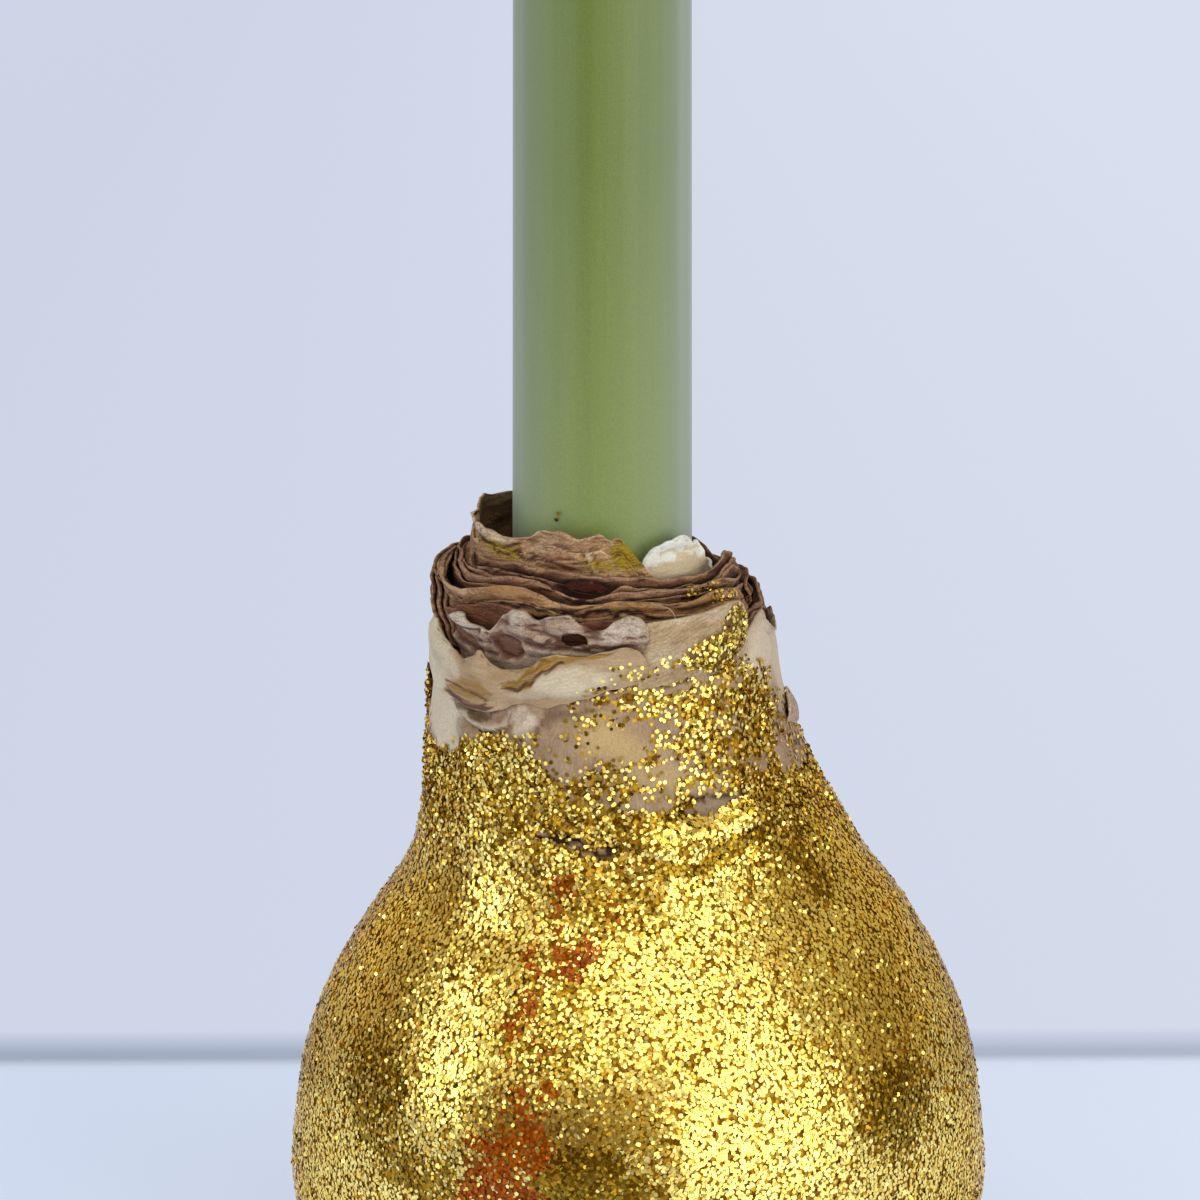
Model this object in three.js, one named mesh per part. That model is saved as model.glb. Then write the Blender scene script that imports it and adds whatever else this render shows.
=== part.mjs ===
// Amaryllis bulb with its cut flower stem: a round bulb coated with coarse gold grains, a bare papery
// neck of torn, nested scales, and one hollow green stem that stands in the middle of them.
//
// Millimetres, +Z up, front towards -Y. The origin is the middle of the flat resting spot. Azimuth is
// measured round the bulb in degrees: 0 is the front, +90 the right side (+X), -90 the left side.

import * as THREE from "three";

const { degToRad, smoothstep, lerp } = THREE.MathUtils;

// Driving dimensions of the bulb.
const BULB_WIDTH = 92;
const BULB_RADIUS = BULB_WIDTH / 2;
const WIDEST_HEIGHT = 37;
const RESTING_RADIUS = 17;
const DEPTH_SHARE = 0.97;
const NECK_OFFSET = -4.4;
const LEAN_START = 70;
const LEAN_END = 102;
const NECK_RADIUS = 22.1;
const NECK_WALL = 0.9;
const NECK_FOOT = 98;
const NECK_RIM = 105;
const SOCKET_FLOOR = 96;
const BULB_SIDES = 76;

// Depth of the surface forms: the body's swells, the neck's folds, the cracks and the coarse grains.
const SWELL_DEPTH = 0.4;
const FOLD_DEPTH = 0.3;
const LEDGE_DEPTH = 0.7;
const GRAIN_RELIEF = 0.7;

// Driving dimensions of the stem.
const STEM_FOOT_RADIUS = 11.6;
const STEM_TOP_RADIUS = 11.0;
const STEM_TOP = 194;
const STEM_BORE_RADIUS = 6.3;
const STEM_BORE_FLOOR = 128;
const STEM_SIDES = 32;
const STEM_OFFSET = -4.95;

// Driving dimensions of the scales, which stand in the socket on a fine gap.
const SEAT_GAP = 0.3;
const SCALE_THICKNESS = 0.8;
const SCALE_FOOT = SOCKET_FLOOR + SEAT_GAP;
const LEFT_BULGE = 2.1;

// Height of the torn rim of the bulb's own wall, as [azimuth, height].
const WALL_RIM = [
  [-180, 106], [-150, 107.5], [-122, 106.4], [-100, 108.5], [-86, 109.2], [-74, 107], [-62, 105.4],
  [-50, 106], [-38, 104.4], [-24, 105.4], [0, 105], [12, 106.7], [33, 107.7], [42, 108.3],
  [52, 110.2], [63, 112.1], [72, 109.6], [86, 107.4], [104, 108.6], [128, 106.6], [154, 107.6],
  [180, 106],
];

// Upper limit of the closed gold coat, as [azimuth, height].
const COAT_LINE = [
  [-180, 95], [-130, 98], [-90, 95], [-62, 94.5], [-40, 98.5], [-18, 92], [10, 89.5], [25, 92],
  [60, 99], [110, 101], [150, 93], [180, 95],
];

// The value at one position of a list of [position, value] points, joined by smooth steps.
function along(points, position) {
  const next = points.findIndex(([start]) => position <= start);
  if (next === 0) return points[0][1];
  if (next === -1) return points[points.length - 1][1];
  const [start, from] = points[next - 1];
  const [end, to] = points[next];
  return lerp(from, to, smoothstep(position, start, end));
}

// A repeatable source of numbers from 0 to 1.
function seededRandom(seed) {
  let state = seed;
  return () => {
    state = (state * 1664525 + 1013904223) % 4294967296;
    return state / 4294967296;
  };
}

// Height of the neck wall's torn rim at one azimuth.
function wallRim(azimuth) {
  return along(WALL_RIM, azimuth);
}

// Sideways lean that brings the neck off the bulb's own axis.
function lean(height) {
  return NECK_OFFSET * smoothstep(height, LEAN_START, LEAN_END);
}

// Long shallow swells of the body and upright folds of the neck.
function skinSwell(azimuth, height) {
  const turn = degToRad(azimuth);
  const body = smoothstep(height, 6, 26) * (1 - smoothstep(height, 78, 94));
  const neck = smoothstep(height, 74, 90) * (1 - smoothstep(height, 96, 100));
  const swell = Math.sin(3 * turn + 0.03 * height + 0.6) + 0.75 * Math.sin(5 * turn - 0.06 * height);
  const fold = Math.sin(8 * turn + 1.2) + 0.7 * Math.sin(13 * turn - 0.7);
  return SWELL_DEPTH * body * swell + FOLD_DEPTH * neck * fold;
}

// Two torn ledges where the outer skin has cracked across the shoulder of the neck.
function skinLedge(azimuth, height) {
  const right = smoothstep(azimuth, 12, 18) * (1 - smoothstep(azimuth, 30, 36));
  const left = smoothstep(azimuth, -26, -20) * (1 - smoothstep(azimuth, -8, -2));
  const rightBand = smoothstep(height, 89, 90.5) * (1 - smoothstep(height, 91, 95));
  const leftBand = smoothstep(height, 85.5, 87) * (1 - smoothstep(height, 87.5, 91));
  return -LEDGE_DEPTH * (right * rightBand + left * leftBand);
}

function material(colour, roughness, metalness) {
  return new THREE.MeshStandardMaterial({ color: colour, roughness, metalness });
}

function mesh(name, geometry, surface) {
  const made = new THREE.Mesh(geometry, surface);
  made.name = name;
  return made;
}

// The bulb turns round its axis from the resting spot, over the belly and shoulder to the neck's rim,
// and back down the inside of the neck to the floor of the socket that the scales stand in.
function bulbOutline() {
  const belly = new THREE.SplineCurve([
    new THREE.Vector2(24.4, 3.2),
    new THREE.Vector2(36.2, 9.6),
    new THREE.Vector2(43.2, 20),
    new THREE.Vector2(BULB_RADIUS - 0.2, 30),
    new THREE.Vector2(BULB_RADIUS, WIDEST_HEIGHT),
    new THREE.Vector2(44.2, 50),
    new THREE.Vector2(40.7, 60),
    new THREE.Vector2(35, 70),
    new THREE.Vector2(30.8, 76),
    new THREE.Vector2(27.8, 82),
    new THREE.Vector2(25, 90),
    new THREE.Vector2(23.2, NECK_FOOT),
  ]).getSpacedPoints(24);
  const inside = NECK_RADIUS - NECK_WALL;
  return [
    new THREE.Vector2(0, 0),
    new THREE.Vector2(9, 0),
    new THREE.Vector2(RESTING_RADIUS, 0),
    new THREE.Vector2(20, 0.7),
    new THREE.Vector2(21.8, 2.4),
    ...belly,
    new THREE.Vector2(22.6, 100),
    new THREE.Vector2(NECK_RADIUS, 102.4),
    new THREE.Vector2(NECK_RADIUS, NECK_RIM - 0.3),
    new THREE.Vector2(NECK_RADIUS - NECK_WALL / 2, NECK_RIM),
    new THREE.Vector2(inside, NECK_RIM - 0.3),
    new THREE.Vector2(inside, 101),
    new THREE.Vector2(inside, SOCKET_FLOOR),
    new THREE.Vector2(11, SOCKET_FLOOR),
    new THREE.Vector2(0, SOCKET_FLOOR),
  ];
}

const OUTLINE = bulbOutline();

// Radius of the bulb's skin, without its grains, at one azimuth and height.
function skinRadius(azimuth, height) {
  const stretch = (NECK_RIM - NECK_FOOT) / (wallRim(azimuth) - NECK_FOOT);
  const level = height > NECK_FOOT ? NECK_FOOT + (height - NECK_FOOT) * stretch : height;
  const next = OUTLINE.findIndex((point) => point.y >= Math.min(level, NECK_RIM - 0.4));
  const [under, over] = [OUTLINE[next - 1], OUTLINE[next]];
  const share = THREE.MathUtils.clamp((level - under.y) / (over.y - under.y), 0, 1);
  return lerp(under.x, over.x, share) + skinSwell(azimuth, height) + skinLedge(azimuth, height);
}

// The turned bulb with its swells, folds, cracks, grains, oval section, leaning neck and torn rim.
function makeBulb() {
  const geometry = new THREE.LatheGeometry(OUTLINE, BULB_SIDES).rotateX(Math.PI / 2);
  const places = geometry.getAttribute("position");
  const random = seededRandom(11);
  const grain = Array.from({ length: BULB_SIDES * OUTLINE.length }, () => random() - 0.5);
  for (let i = 0; i < places.count; i += 1) {
    const radius = Math.hypot(places.getX(i), places.getY(i));
    const height = places.getZ(i);
    if (radius < 0.001 || (height < 0.001 && radius < RESTING_RADIUS + 0.001)) continue;
    const turn = Math.atan2(places.getX(i), -places.getY(i));
    const azimuth = THREE.MathUtils.radToDeg(turn);
    const outside = radius > NECK_RADIUS - NECK_WALL / 4 || height < SOCKET_FLOOR - 1;
    const coatTop = along(COAT_LINE, azimuth);
    const coat = smoothstep(height, 3, 8) * (1 - smoothstep(height, coatTop - 2, coatTop + 1));
    const relief = GRAIN_RELIEF * coat * grain[i % grain.length];
    const skin = outside ? skinSwell(azimuth, height) + skinLedge(azimuth, height) + relief : 0;
    const wide = radius + skin;
    const oval = lerp(DEPTH_SHARE, 1, Math.max(smoothstep(height, 60, 90), 1 - smoothstep(height, 0, 8)));
    const stretch = Math.max(0, height - NECK_FOOT) / (NECK_RIM - NECK_FOOT);
    const raised = stretch > 0 ? NECK_FOOT + stretch * (wallRim(azimuth) - NECK_FOOT) : height;
    places.setXYZ(i, wide * Math.sin(turn) + lean(height), -wide * Math.cos(turn) * oval, raised);
  }
  return mesh("bulb", geometry, material(0xc9a63c, 0.35, 0.85));
}

// The hollow stem, cut off square at the top, with faint ribs round it.
function makeStem() {
  const heights = [SCALE_FOOT, 106, 116, 126, 138, 150, 162, 174, 186, STEM_TOP - 0.4];
  const radiusAt = (height) =>
    lerp(STEM_FOOT_RADIUS, STEM_TOP_RADIUS, (height - SCALE_FOOT) / (STEM_TOP - SCALE_FOOT));
  const outline = [
    new THREE.Vector2(0, SCALE_FOOT),
    ...heights.map((height) => new THREE.Vector2(radiusAt(height), height)),
    new THREE.Vector2(STEM_TOP_RADIUS - 0.4, STEM_TOP),
    new THREE.Vector2(STEM_BORE_RADIUS + 0.3, STEM_TOP),
    new THREE.Vector2(STEM_BORE_RADIUS, STEM_TOP - 0.5),
    new THREE.Vector2(STEM_BORE_RADIUS, STEM_BORE_FLOOR + 2),
    new THREE.Vector2(STEM_BORE_RADIUS - 2, STEM_BORE_FLOOR),
    new THREE.Vector2(0, STEM_BORE_FLOOR),
  ];
  const geometry = new THREE.LatheGeometry(outline, STEM_SIDES).rotateX(Math.PI / 2);
  const places = geometry.getAttribute("position");
  for (let i = 0; i < places.count; i += 1) {
    const radius = Math.hypot(places.getX(i), places.getY(i));
    if (radius < STEM_TOP_RADIUS - 0.5) continue;
    const turn = Math.atan2(places.getX(i), -places.getY(i));
    const rib = 0.08 * Math.cos(7 * turn + 0.5) + 0.06 * Math.cos(2 * turn);
    places.setX(i, (radius + rib) * Math.sin(turn));
    places.setY(i, -(radius + rib) * Math.cos(turn));
  }
  const stem = mesh("flower_stem", geometry, material(0x86955a, 0.5, 0));
  stem.position.x = STEM_OFFSET;
  return stem;
}

// Outward push that all the nested scales share: gentle ripples, and a wide bulge on the left.
function nestPush(azimuth, share) {
  const turn = degToRad(azimuth);
  const rise = smoothstep(azimuth, -95, -35);
  const fall = smoothstep(azimuth, -178, -125);
  const bulge = azimuth < -110 ? fall : 1 - rise;
  return 0.22 * Math.sin(4 * turn + 0.8) + 0.14 * Math.sin(9 * turn - 1.1) + share * LEFT_BULGE * bulge;
}

// One scale: a thin sheet bent round the neck, from one azimuth to another. `inner` is the radius of its
// inner face near the foot, `flare` adds to it as [height, extra], counted from the height that `above`
// gives, and `rim` is its upper edge as [azimuth, height]. A snug scale has no ripples, and one that hugs
// lies on the bulb's skin, with its lower edge in `lower`.
function makeScale(spec) {
  const { name, from, to, inner, rim, flare, colour } = spec;
  const steps = spec.steps ?? Math.round((to - from) / 8);
  const thickness = spec.thickness ?? SCALE_THICKNESS;
  const lower = spec.lower ?? [[0, SCALE_FOOT]];
  const random = seededRandom(spec.seed);
  const tears = Array.from({ length: steps + 1 }, () => (random() - 0.5) * (spec.tear ?? 0.6));
  const geometry = new THREE.BoxGeometry(1, 1, 1, steps, spec.rows ?? 5, 1);
  const places = geometry.getAttribute("position");
  for (let i = 0; i < places.count; i += 1) {
    const across = places.getX(i) + 0.5;
    const up = 1 - (0.5 - places.getY(i)) ** (spec.lower ? 1 : 2);
    const azimuth = from + (to - from) * across;
    const turn = degToRad(azimuth);
    const top = along(rim, azimuth) + tears[Math.round(across * steps)];
    const height = lerp(along(lower, azimuth), top, up);
    const slim = lerp(1, 0.75, up ** 4);
    const push = spec.snug ? 0 : nestPush(azimuth, spec.bulge ?? 1);
    const start = spec.hugs ? skinRadius(azimuth, height) + SEAT_GAP : inner + push;
    const open = along(flare, height - (spec.above ?? (() => 0))(azimuth));
    const radius = start + open + thickness * (0.5 + places.getZ(i) * slim);
    const middle = spec.hugs ? lean(height) : NECK_OFFSET;
    places.setXYZ(i, middle + radius * Math.sin(turn), -radius * Math.cos(turn), height);
  }
  return mesh(name, geometry, material(colour, 0.8, 0));
}

const SCALES = [
  // The fresh white scale that still hugs the stem, high at the front right.
  {
    name: "white_scale",
    from: -14,
    to: 168,
    inner: 12.05,
    seed: 2,
    tear: 0.3,
    snug: true,
    colour: 0xd7d7ca,
    flare: [[112, 0], [121, 0.35]],
    rim: [
      [-14, 115], [14, 117], [28, 121.2], [42, 121.9], [52, 120.4], [60, 121], [70, 119.4],
      [84, 117], [112, 115.6], [140, 116.4], [168, 113],
    ],
  },
  // The tan collar, snug at the front and standing off the stem at the left.
  {
    name: "collar_scale",
    from: -174,
    to: 25,
    inner: 13.5,
    seed: 3,
    tear: 0.5,
    colour: 0x91714d,
    flare: [[112, 0], [118, 0.9], [123, 0.2]],
    rim: [
      [-174, 119], [-140, 123.2], [-112, 123], [-88, 121.4], [-66, 123.1], [-45, 122.9],
      [-35, 122.1], [-18, 123.1], [-4, 122.4], [6, 122.8], [25, 120.1],
    ],
  },
  // Two dry brown scales that run almost all the way round.
  {
    name: "inner_scale_1",
    from: -150,
    to: 196,
    inner: 14.7,
    seed: 4,
    steps: 42,
    colour: 0x694430,
    flare: [[110, 0], [118, 1.1]],
    rim: [
      [-150, 117], [-100, 118.6], [-70, 118], [-20, 117.4], [24, 117.3], [55, 118.6], [84, 116.8],
      [112, 115.2], [150, 117], [196, 116],
    ],
  },
  {
    name: "inner_scale_2",
    from: -184,
    to: 150,
    inner: 15.9,
    seed: 5,
    steps: 40,
    colour: 0x755133,
    flare: [[109, 0], [117, 1.1]],
    rim: [
      [-184, 114], [-130, 116.6], [-96, 117], [-60, 115.4], [-30, 117], [0, 116], [40, 116],
      [76, 115.2], [112, 114.4], [150, 113.4],
    ],
  },
  // The golden scale with an arched rim at the front.
  {
    name: "ochre_scale",
    from: -56,
    to: 84,
    inner: 17.15,
    bulge: 0.92,
    seed: 6,
    colour: 0x9c7e56,
    flare: [[108, 0], [115, 1.1]],
    rim: [
      [-56, 112.6], [-46, 114.6], [-32, 116], [-22, 115.2], [-8, 113.6], [6, 114.6], [24, 114.9],
      [44, 115.2], [64, 114], [84, 111],
    ],
  },
  // The brown scale behind it at the back.
  {
    name: "rear_scale",
    from: 92,
    to: 176,
    inner: 17.15,
    bulge: 0,
    seed: 7,
    colour: 0x7d5a44,
    flare: [[108, 0], [116, 1.2]],
    rim: [[92, 113], [110, 116.4], [135, 115.4], [156, 116.8], [176, 113]],
  },
  // The dark red-brown scale seen in the gap behind the lip.
  {
    name: "dark_scale",
    from: -46,
    to: 58,
    inner: 18.35,
    bulge: 0.8,
    seed: 8,
    colour: 0x5b3524,
    flare: [[107, 0], [113, 0.8]],
    rim: [[-46, 111], [-30, 113], [-8, 111.6], [10, 112.4], [34, 112], [58, 110.4]],
  },
  // The wilted, lumpy lip that rolls out over the front left of the wall.
  {
    name: "lip_scale",
    from: -66,
    to: 12.6,
    inner: 19.4,
    bulge: 0.28,
    seed: 9,
    tear: 0.2,
    steps: 20,
    colour: 0xa68e79,
    flare: [[107.5, 0], [110.5, 1], [114, 0.7]],
    rim: [
      [-66, 111.2], [-49, 111.7], [-41, 112.4], [-28, 115.4], [-21, 113.4], [-13, 114.6],
      [-4, 112.8], [3, 114.6], [10, 115], [15, 113.4],
    ],
  },
  // The smooth flap that leans out over the wall at the front right.
  {
    name: "flap_scale",
    from: 13.6,
    to: 53,
    inner: 20.1,
    snug: true,
    seed: 10,
    tear: 0.2,
    thickness: 0.7,
    colour: 0xb39d78,
    above: wallRim,
    flare: [[-0.2, 0], [2.2, 1.3]],
    rim: [[13.6, 113.8], [18, 114.3], [30, 114.7], [44, 115.1], [49, 114], [53, 110.4]],
  },
  // The dark outer scale at the left and the back left.
  {
    name: "left_scale",
    from: -166,
    to: -72,
    inner: 20,
    snug: true,
    seed: 12,
    thickness: 0.7,
    colour: 0x4f2f22,
    above: wallRim,
    flare: [[0.8, 0], [3.5, 1], [7, 1.7]],
    rim: [[-166, 111.6], [-144, 115.6], [-118, 117], [-98, 117.6], [-86, 112.6], [-72, 108.4]],
  },
  // The brown outer scale at the right and the back.
  {
    name: "back_scale",
    from: 60,
    to: 184,
    inner: 19.55,
    bulge: 0,
    seed: 13,
    colour: 0x7f5f4b,
    above: wallRim,
    flare: [[0, 0], [4, 0.6]],
    rim: [
      [60, 109], [74, 110.8], [90, 110.4], [104, 112], [126, 112.8], [148, 111.6], [166, 113.2],
      [184, 110],
    ],
  },
  // A band of outer skin that wraps the front left of the neck.
  {
    name: "wrap_scale",
    from: -68,
    to: 12,
    hugs: true,
    seed: 14,
    tear: 0.2,
    steps: 20,
    rows: 4,
    colour: 0xc3ab93,
    flare: [[102, 0.05], [106.5, 0.7], [109, 0.2]],
    lower: [
      [-68, 103.6], [-54, 101.9], [-41, 100.2], [-34, 100.8], [-25, 104.2], [-16, 104.4], [0, 105.6],
      [12, 107.4],
    ],
    rim: [[-68, 109.6], [-54, 107.6], [-43, 109.8], [-36, 107.4], [-26, 110], [-4, 109.6], [12, 108.6]],
  },
  // Two loose flakes of outer skin at the sides of the neck.
  {
    name: "left_flake",
    from: -116,
    to: -92,
    hugs: true,
    thickness: 0.6,
    seed: 15,
    rows: 4,
    colour: 0x3c2418,
    flare: [[98, 0.3], [102, 0.05], [107, 0.4]],
    lower: [[-116, 99], [-104, 97.4], [-92, 98.6]],
    rim: [[-116, 105], [-105, 107.6], [-92, 105.6]],
  },
  {
    name: "right_flake",
    from: 78,
    to: 102,
    hugs: true,
    thickness: 0.6,
    seed: 16,
    rows: 4,
    colour: 0x9a8069,
    flare: [[94, 0.6], [97, 0.5], [100, 0.05]],
    lower: [[78, 96], [90, 94.8], [102, 95.8]],
    rim: [[78, 98.4], [88, 100.2], [102, 98.2]],
  },
];

const amaryllis = new THREE.Group();
amaryllis.add(makeBulb(), makeStem(), ...SCALES.map(makeScale));

export default amaryllis;
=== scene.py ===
"""The looks of an amaryllis bulb whose skin is coated with gold glitter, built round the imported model.

Lengths are in millimetres and azimuths in degrees (0 at the front, towards -Y, and 90 at the right side,
towards +X) until a mesh is finished, when its places become metres in the frame of the model.
"""

import logging
import math
from dataclasses import dataclass, field
from enum import Enum
from typing import Any, Sequence

import bpy
import numpy as np
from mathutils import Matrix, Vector


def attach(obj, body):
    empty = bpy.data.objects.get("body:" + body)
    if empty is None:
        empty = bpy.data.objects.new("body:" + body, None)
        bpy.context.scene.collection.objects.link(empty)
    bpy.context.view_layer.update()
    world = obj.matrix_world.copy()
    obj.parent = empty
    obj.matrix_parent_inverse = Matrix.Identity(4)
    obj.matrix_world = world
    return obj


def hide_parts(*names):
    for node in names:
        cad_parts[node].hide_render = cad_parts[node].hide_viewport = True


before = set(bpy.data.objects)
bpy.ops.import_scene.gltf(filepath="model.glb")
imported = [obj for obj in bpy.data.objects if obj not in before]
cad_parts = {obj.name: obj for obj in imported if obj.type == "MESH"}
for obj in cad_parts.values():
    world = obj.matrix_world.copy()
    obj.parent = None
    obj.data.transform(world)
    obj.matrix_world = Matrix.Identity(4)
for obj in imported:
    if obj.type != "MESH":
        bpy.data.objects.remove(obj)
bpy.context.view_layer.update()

logging.basicConfig(level=logging.INFO, format="%(message)s")
log = logging.getLogger("amaryllis")

Array = np.ndarray
Keys = Sequence[tuple[float, float]]
Colour = tuple[float, float, float]
Thing = bpy.types.Object
Material = bpy.types.Material
Socket = bpy.types.NodeSocket

MM = 0.001

# Driving dimensions of the bulb, as in the model.
BULB_RADIUS = 46.0
RESTING_RADIUS = 17.0
DEPTH_SHARE = 0.97
NECK_OFFSET = -4.4
NECK_RADIUS = 22.1
NECK_WALL = 0.9
NECK_FOOT = 98.0
NECK_RIM = 105.0
SOCKET_FLOOR = 96.0
SCALE_FOOT = 96.3
STEM_OFFSET = -4.95
STEM_TOP = 194.0
STEM_BORE_RADIUS = 6.3
STEM_BORE_FLOOR = 128.0
MM_PER_DEGREE = 0.4
FRAY_SEEDS = (77, 83)

# Height of the torn rim of the bulb's own wall.
WALL_RIM: Keys = (
    (-180, 106), (-150, 107.5), (-122, 106.4), (-100, 108.5), (-86, 109.2), (-74, 107), (-62, 105.4),
    (-50, 106), (-38, 104.4), (-24, 105.4), (0, 105), (12, 106.7), (33, 107.7), (42, 108.3), (52, 110.2),
    (63, 112.1), (72, 109.6), (86, 107.4), (104, 108.6), (128, 106.6), (154, 107.6), (180, 106),
)

# Upper limit of the closed gold coat, and of the loose flakes scattered above it.
COAT_LINE: Keys = (
    (-180, 95), (-130, 98), (-90, 95), (-62, 94.6), (-48, 97.4), (-41, 98.7), (-33, 98.8), (-28, 98.1),
    (-23, 96.9), (-18, 94.7), (-14, 92), (-4, 91.2), (10, 90.5), (22, 90.5), (34, 92), (44, 95), (52, 93),
    (64, 91.5), (80, 90.5), (110, 96), (150, 93), (180, 95),
)
SCATTER_LINE: Keys = (
    (-180, 97), (-100, 97), (-62, 96), (-30, 99), (-19, 100), (-12, 104), (-8, 106.6), (8, 107.4),
    (20, 106.4), (45, 107), (58, 106.4), (68, 104.5), (82, 99.5), (110, 99), (180, 97),
)


def ramp(value: Array | float, start: float | Array, end: float | Array) -> Array:
    """Return a smooth step from 0 at start to 1 at end, where end may lie below start."""
    share = np.clip((np.asarray(value, float) - start) / (np.asarray(end, float) - start), 0, 1)
    return share * share * (3 - 2 * share)


def blend(low: Array | float, high: Array | float, share: Array | float) -> Array:
    """Return the value between low and high at a share from 0 to 1."""
    return low + (high - low) * share


def along(keys: Keys, position: Array | float) -> Array:
    """Read a list of keys that are joined by smooth steps.

    Args:
        keys: (position, value) pairs in rising order of position.
        position: Where to read the list.

    Returns:
        The value at each position, held level past the two ends.
    """
    place = np.asarray(position, float)
    starts = np.array([key[0] for key in keys], float)
    values = np.array([key[1] for key in keys], float)
    after = np.clip(np.searchsorted(starts, place), 1, len(keys) - 1)
    share = ramp(place, starts[after - 1], starts[after])
    return blend(values[after - 1], values[after], share)


def srgb(red: int, green: int, blue: int) -> Colour:
    """Return the linear colour of a screen colour given from 0 to 255.

    Args:
        red: Red from 0 to 255.
        green: Green from 0 to 255.
        blue: Blue from 0 to 255.

    Returns:
        Its three linear shares.
    """
    def linear(level: int) -> float:
        """Return the linear share of one level."""
        share = level / 255
        return share / 12.92 if share <= 0.04045 else ((share + 0.055) / 1.055) ** 2.4
    return (linear(red), linear(green), linear(blue))


@dataclass(frozen=True)
class Cloud:
    """A seeded field of soft lumps in space, from -1 to 1.

    Attributes:
        seed: Number that fixes the field.
        size: Size of a lump along x, y and z.
        cells: Lumps in each direction before the field repeats.
    """

    seed: int
    size: tuple[float, float, float]
    cells: int = 24

    def at(self, places: Array) -> Array:
        """Return the field at each row (x, y, z) of places.

        Args:
            places: The places, one to a row.

        Returns:
            The field there.
        """
        table = np.random.default_rng(self.seed).uniform(-1, 1, (self.cells,) * 3)
        scaled = np.asarray(places, float) / np.array(self.size)
        base = np.floor(scaled).astype(int)
        share = scaled - base
        share = share * share * (3 - 2 * share)
        total = np.zeros(len(scaled))
        for corner in np.ndindex(2, 2, 2):
            weight = np.prod(np.where(np.array(corner) == 1, share, 1 - share), axis=1)
            index = (base + np.array(corner)) % self.cells
            total += weight * table[index[:, 0], index[:, 1], index[:, 2]]
        return 1.6 * total

    def turbulent(self, places: Array, octaves: int = 3) -> Array:
        """Return the sum of the field and of finer copies of itself, each with half the strength.

        Args:
            places: The places, one to a row.
            octaves: How many fields are summed.

        Returns:
            The sum there.
        """
        total = np.zeros(len(places))
        for octave in range(octaves):
            finer = Cloud(self.seed + octave, tuple(side / 2 ** octave for side in self.size))
            total += finer.at(places) / 2 ** octave
        return total


@dataclass(frozen=True)
class Spot:
    """An oval patch on the neck, with a soft edge.

    Attributes:
        azimuth: Azimuth of its middle.
        height: Height of its middle.
        wide: Half of its width, in millimetres.
        tall: Half of its height, in millimetres.
        amount: How strong it is in the middle.
        tilt: Turn of its long axis, in degrees, anticlockwise as seen from outside.
        softness: Share of its size over which it fades.
    """

    azimuth: float
    height: float
    wide: float
    tall: float
    amount: float = 1.0
    tilt: float = 0.0
    softness: float = 0.6

    def mask(self, azimuth: Array, height: Array) -> Array:
        """Return the patch's strength at each place.

        Args:
            azimuth: Azimuth of each place.
            height: Height of each place.

        Returns:
            The strength, up to the amount.
        """
        across = (azimuth - self.azimuth) * MM_PER_DEGREE
        up = height - self.height
        turn = math.radians(self.tilt)
        long = (across * math.cos(turn) + up * math.sin(turn)) / self.wide
        short = (up * math.cos(turn) - across * math.sin(turn)) / self.tall
        return self.amount * ramp(np.hypot(long, short), 1 + self.softness / 2, 1 - self.softness / 2)


@dataclass(frozen=True)
class Stroke:
    """A long patch that follows a path round the neck.

    Attributes:
        path: (azimuth, height) pairs of its middle line.
        width: (azimuth, half height) pairs, which start and end at 0.
        amount: How strong it is on its middle line.
        softness: Share of its width over which it fades.
    """

    path: Keys
    width: Keys
    amount: float = 1.0
    softness: float = 1.0

    def mask(self, azimuth: Array, height: Array) -> Array:
        """Return the stroke's strength at each place.

        Args:
            azimuth: Azimuth of each place.
            height: Height of each place.

        Returns:
            The strength, up to the amount.
        """
        reach = along(self.width, azimuth)
        share = np.abs(height - along(self.path, azimuth)) / np.maximum(reach, 0.01)
        faded = ramp(share, 1 + self.softness / 2, 1 - self.softness / 2)
        return self.amount * faded * ramp(reach, 0.02, 0.15)


def summed(spots: Sequence[Spot | Stroke], azimuth: Array, height: Array) -> Array:
    """Return the sum of all the spots' strengths."""
    return sum((spot.mask(azimuth, height) for spot in spots), np.zeros(np.shape(azimuth)))


def strongest(spots: Sequence[Spot | Stroke], azimuth: Array, height: Array) -> Array:
    """Return the strength of the strongest spot at each place.

    Args:
        spots: The patches.
        azimuth: Azimuth of each place.
        height: Height of each place.

    Returns:
        The greatest strength, or 0.
    """
    total = np.zeros(np.shape(azimuth))
    for spot in spots:
        total = np.maximum(total, spot.mask(azimuth, height))
    return total


def frayed(azimuth: Array, height: Array, depth: float = 0.3, size: float = 1.3) -> tuple[Array, Array]:
    """Return places moved a little to and fro, so that the spots read there have frayed edges."""
    sheet = np.column_stack([azimuth * MM_PER_DEGREE, height, np.zeros(len(height))])
    aside, up = (Cloud(seed, (size,) * 3).turbulent(sheet, 2) for seed in FRAY_SEEDS)
    return azimuth + depth / MM_PER_DEGREE * aside, height + depth * up


def wall_rim(azimuth: Array) -> Array:
    """Return the height of the neck wall's torn rim."""
    return along(WALL_RIM, azimuth)


def lean(height: Array) -> Array:
    """Return the sideways lean that brings the neck off the bulb's own axis."""
    return NECK_OFFSET * ramp(height, 70, 102)


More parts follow.
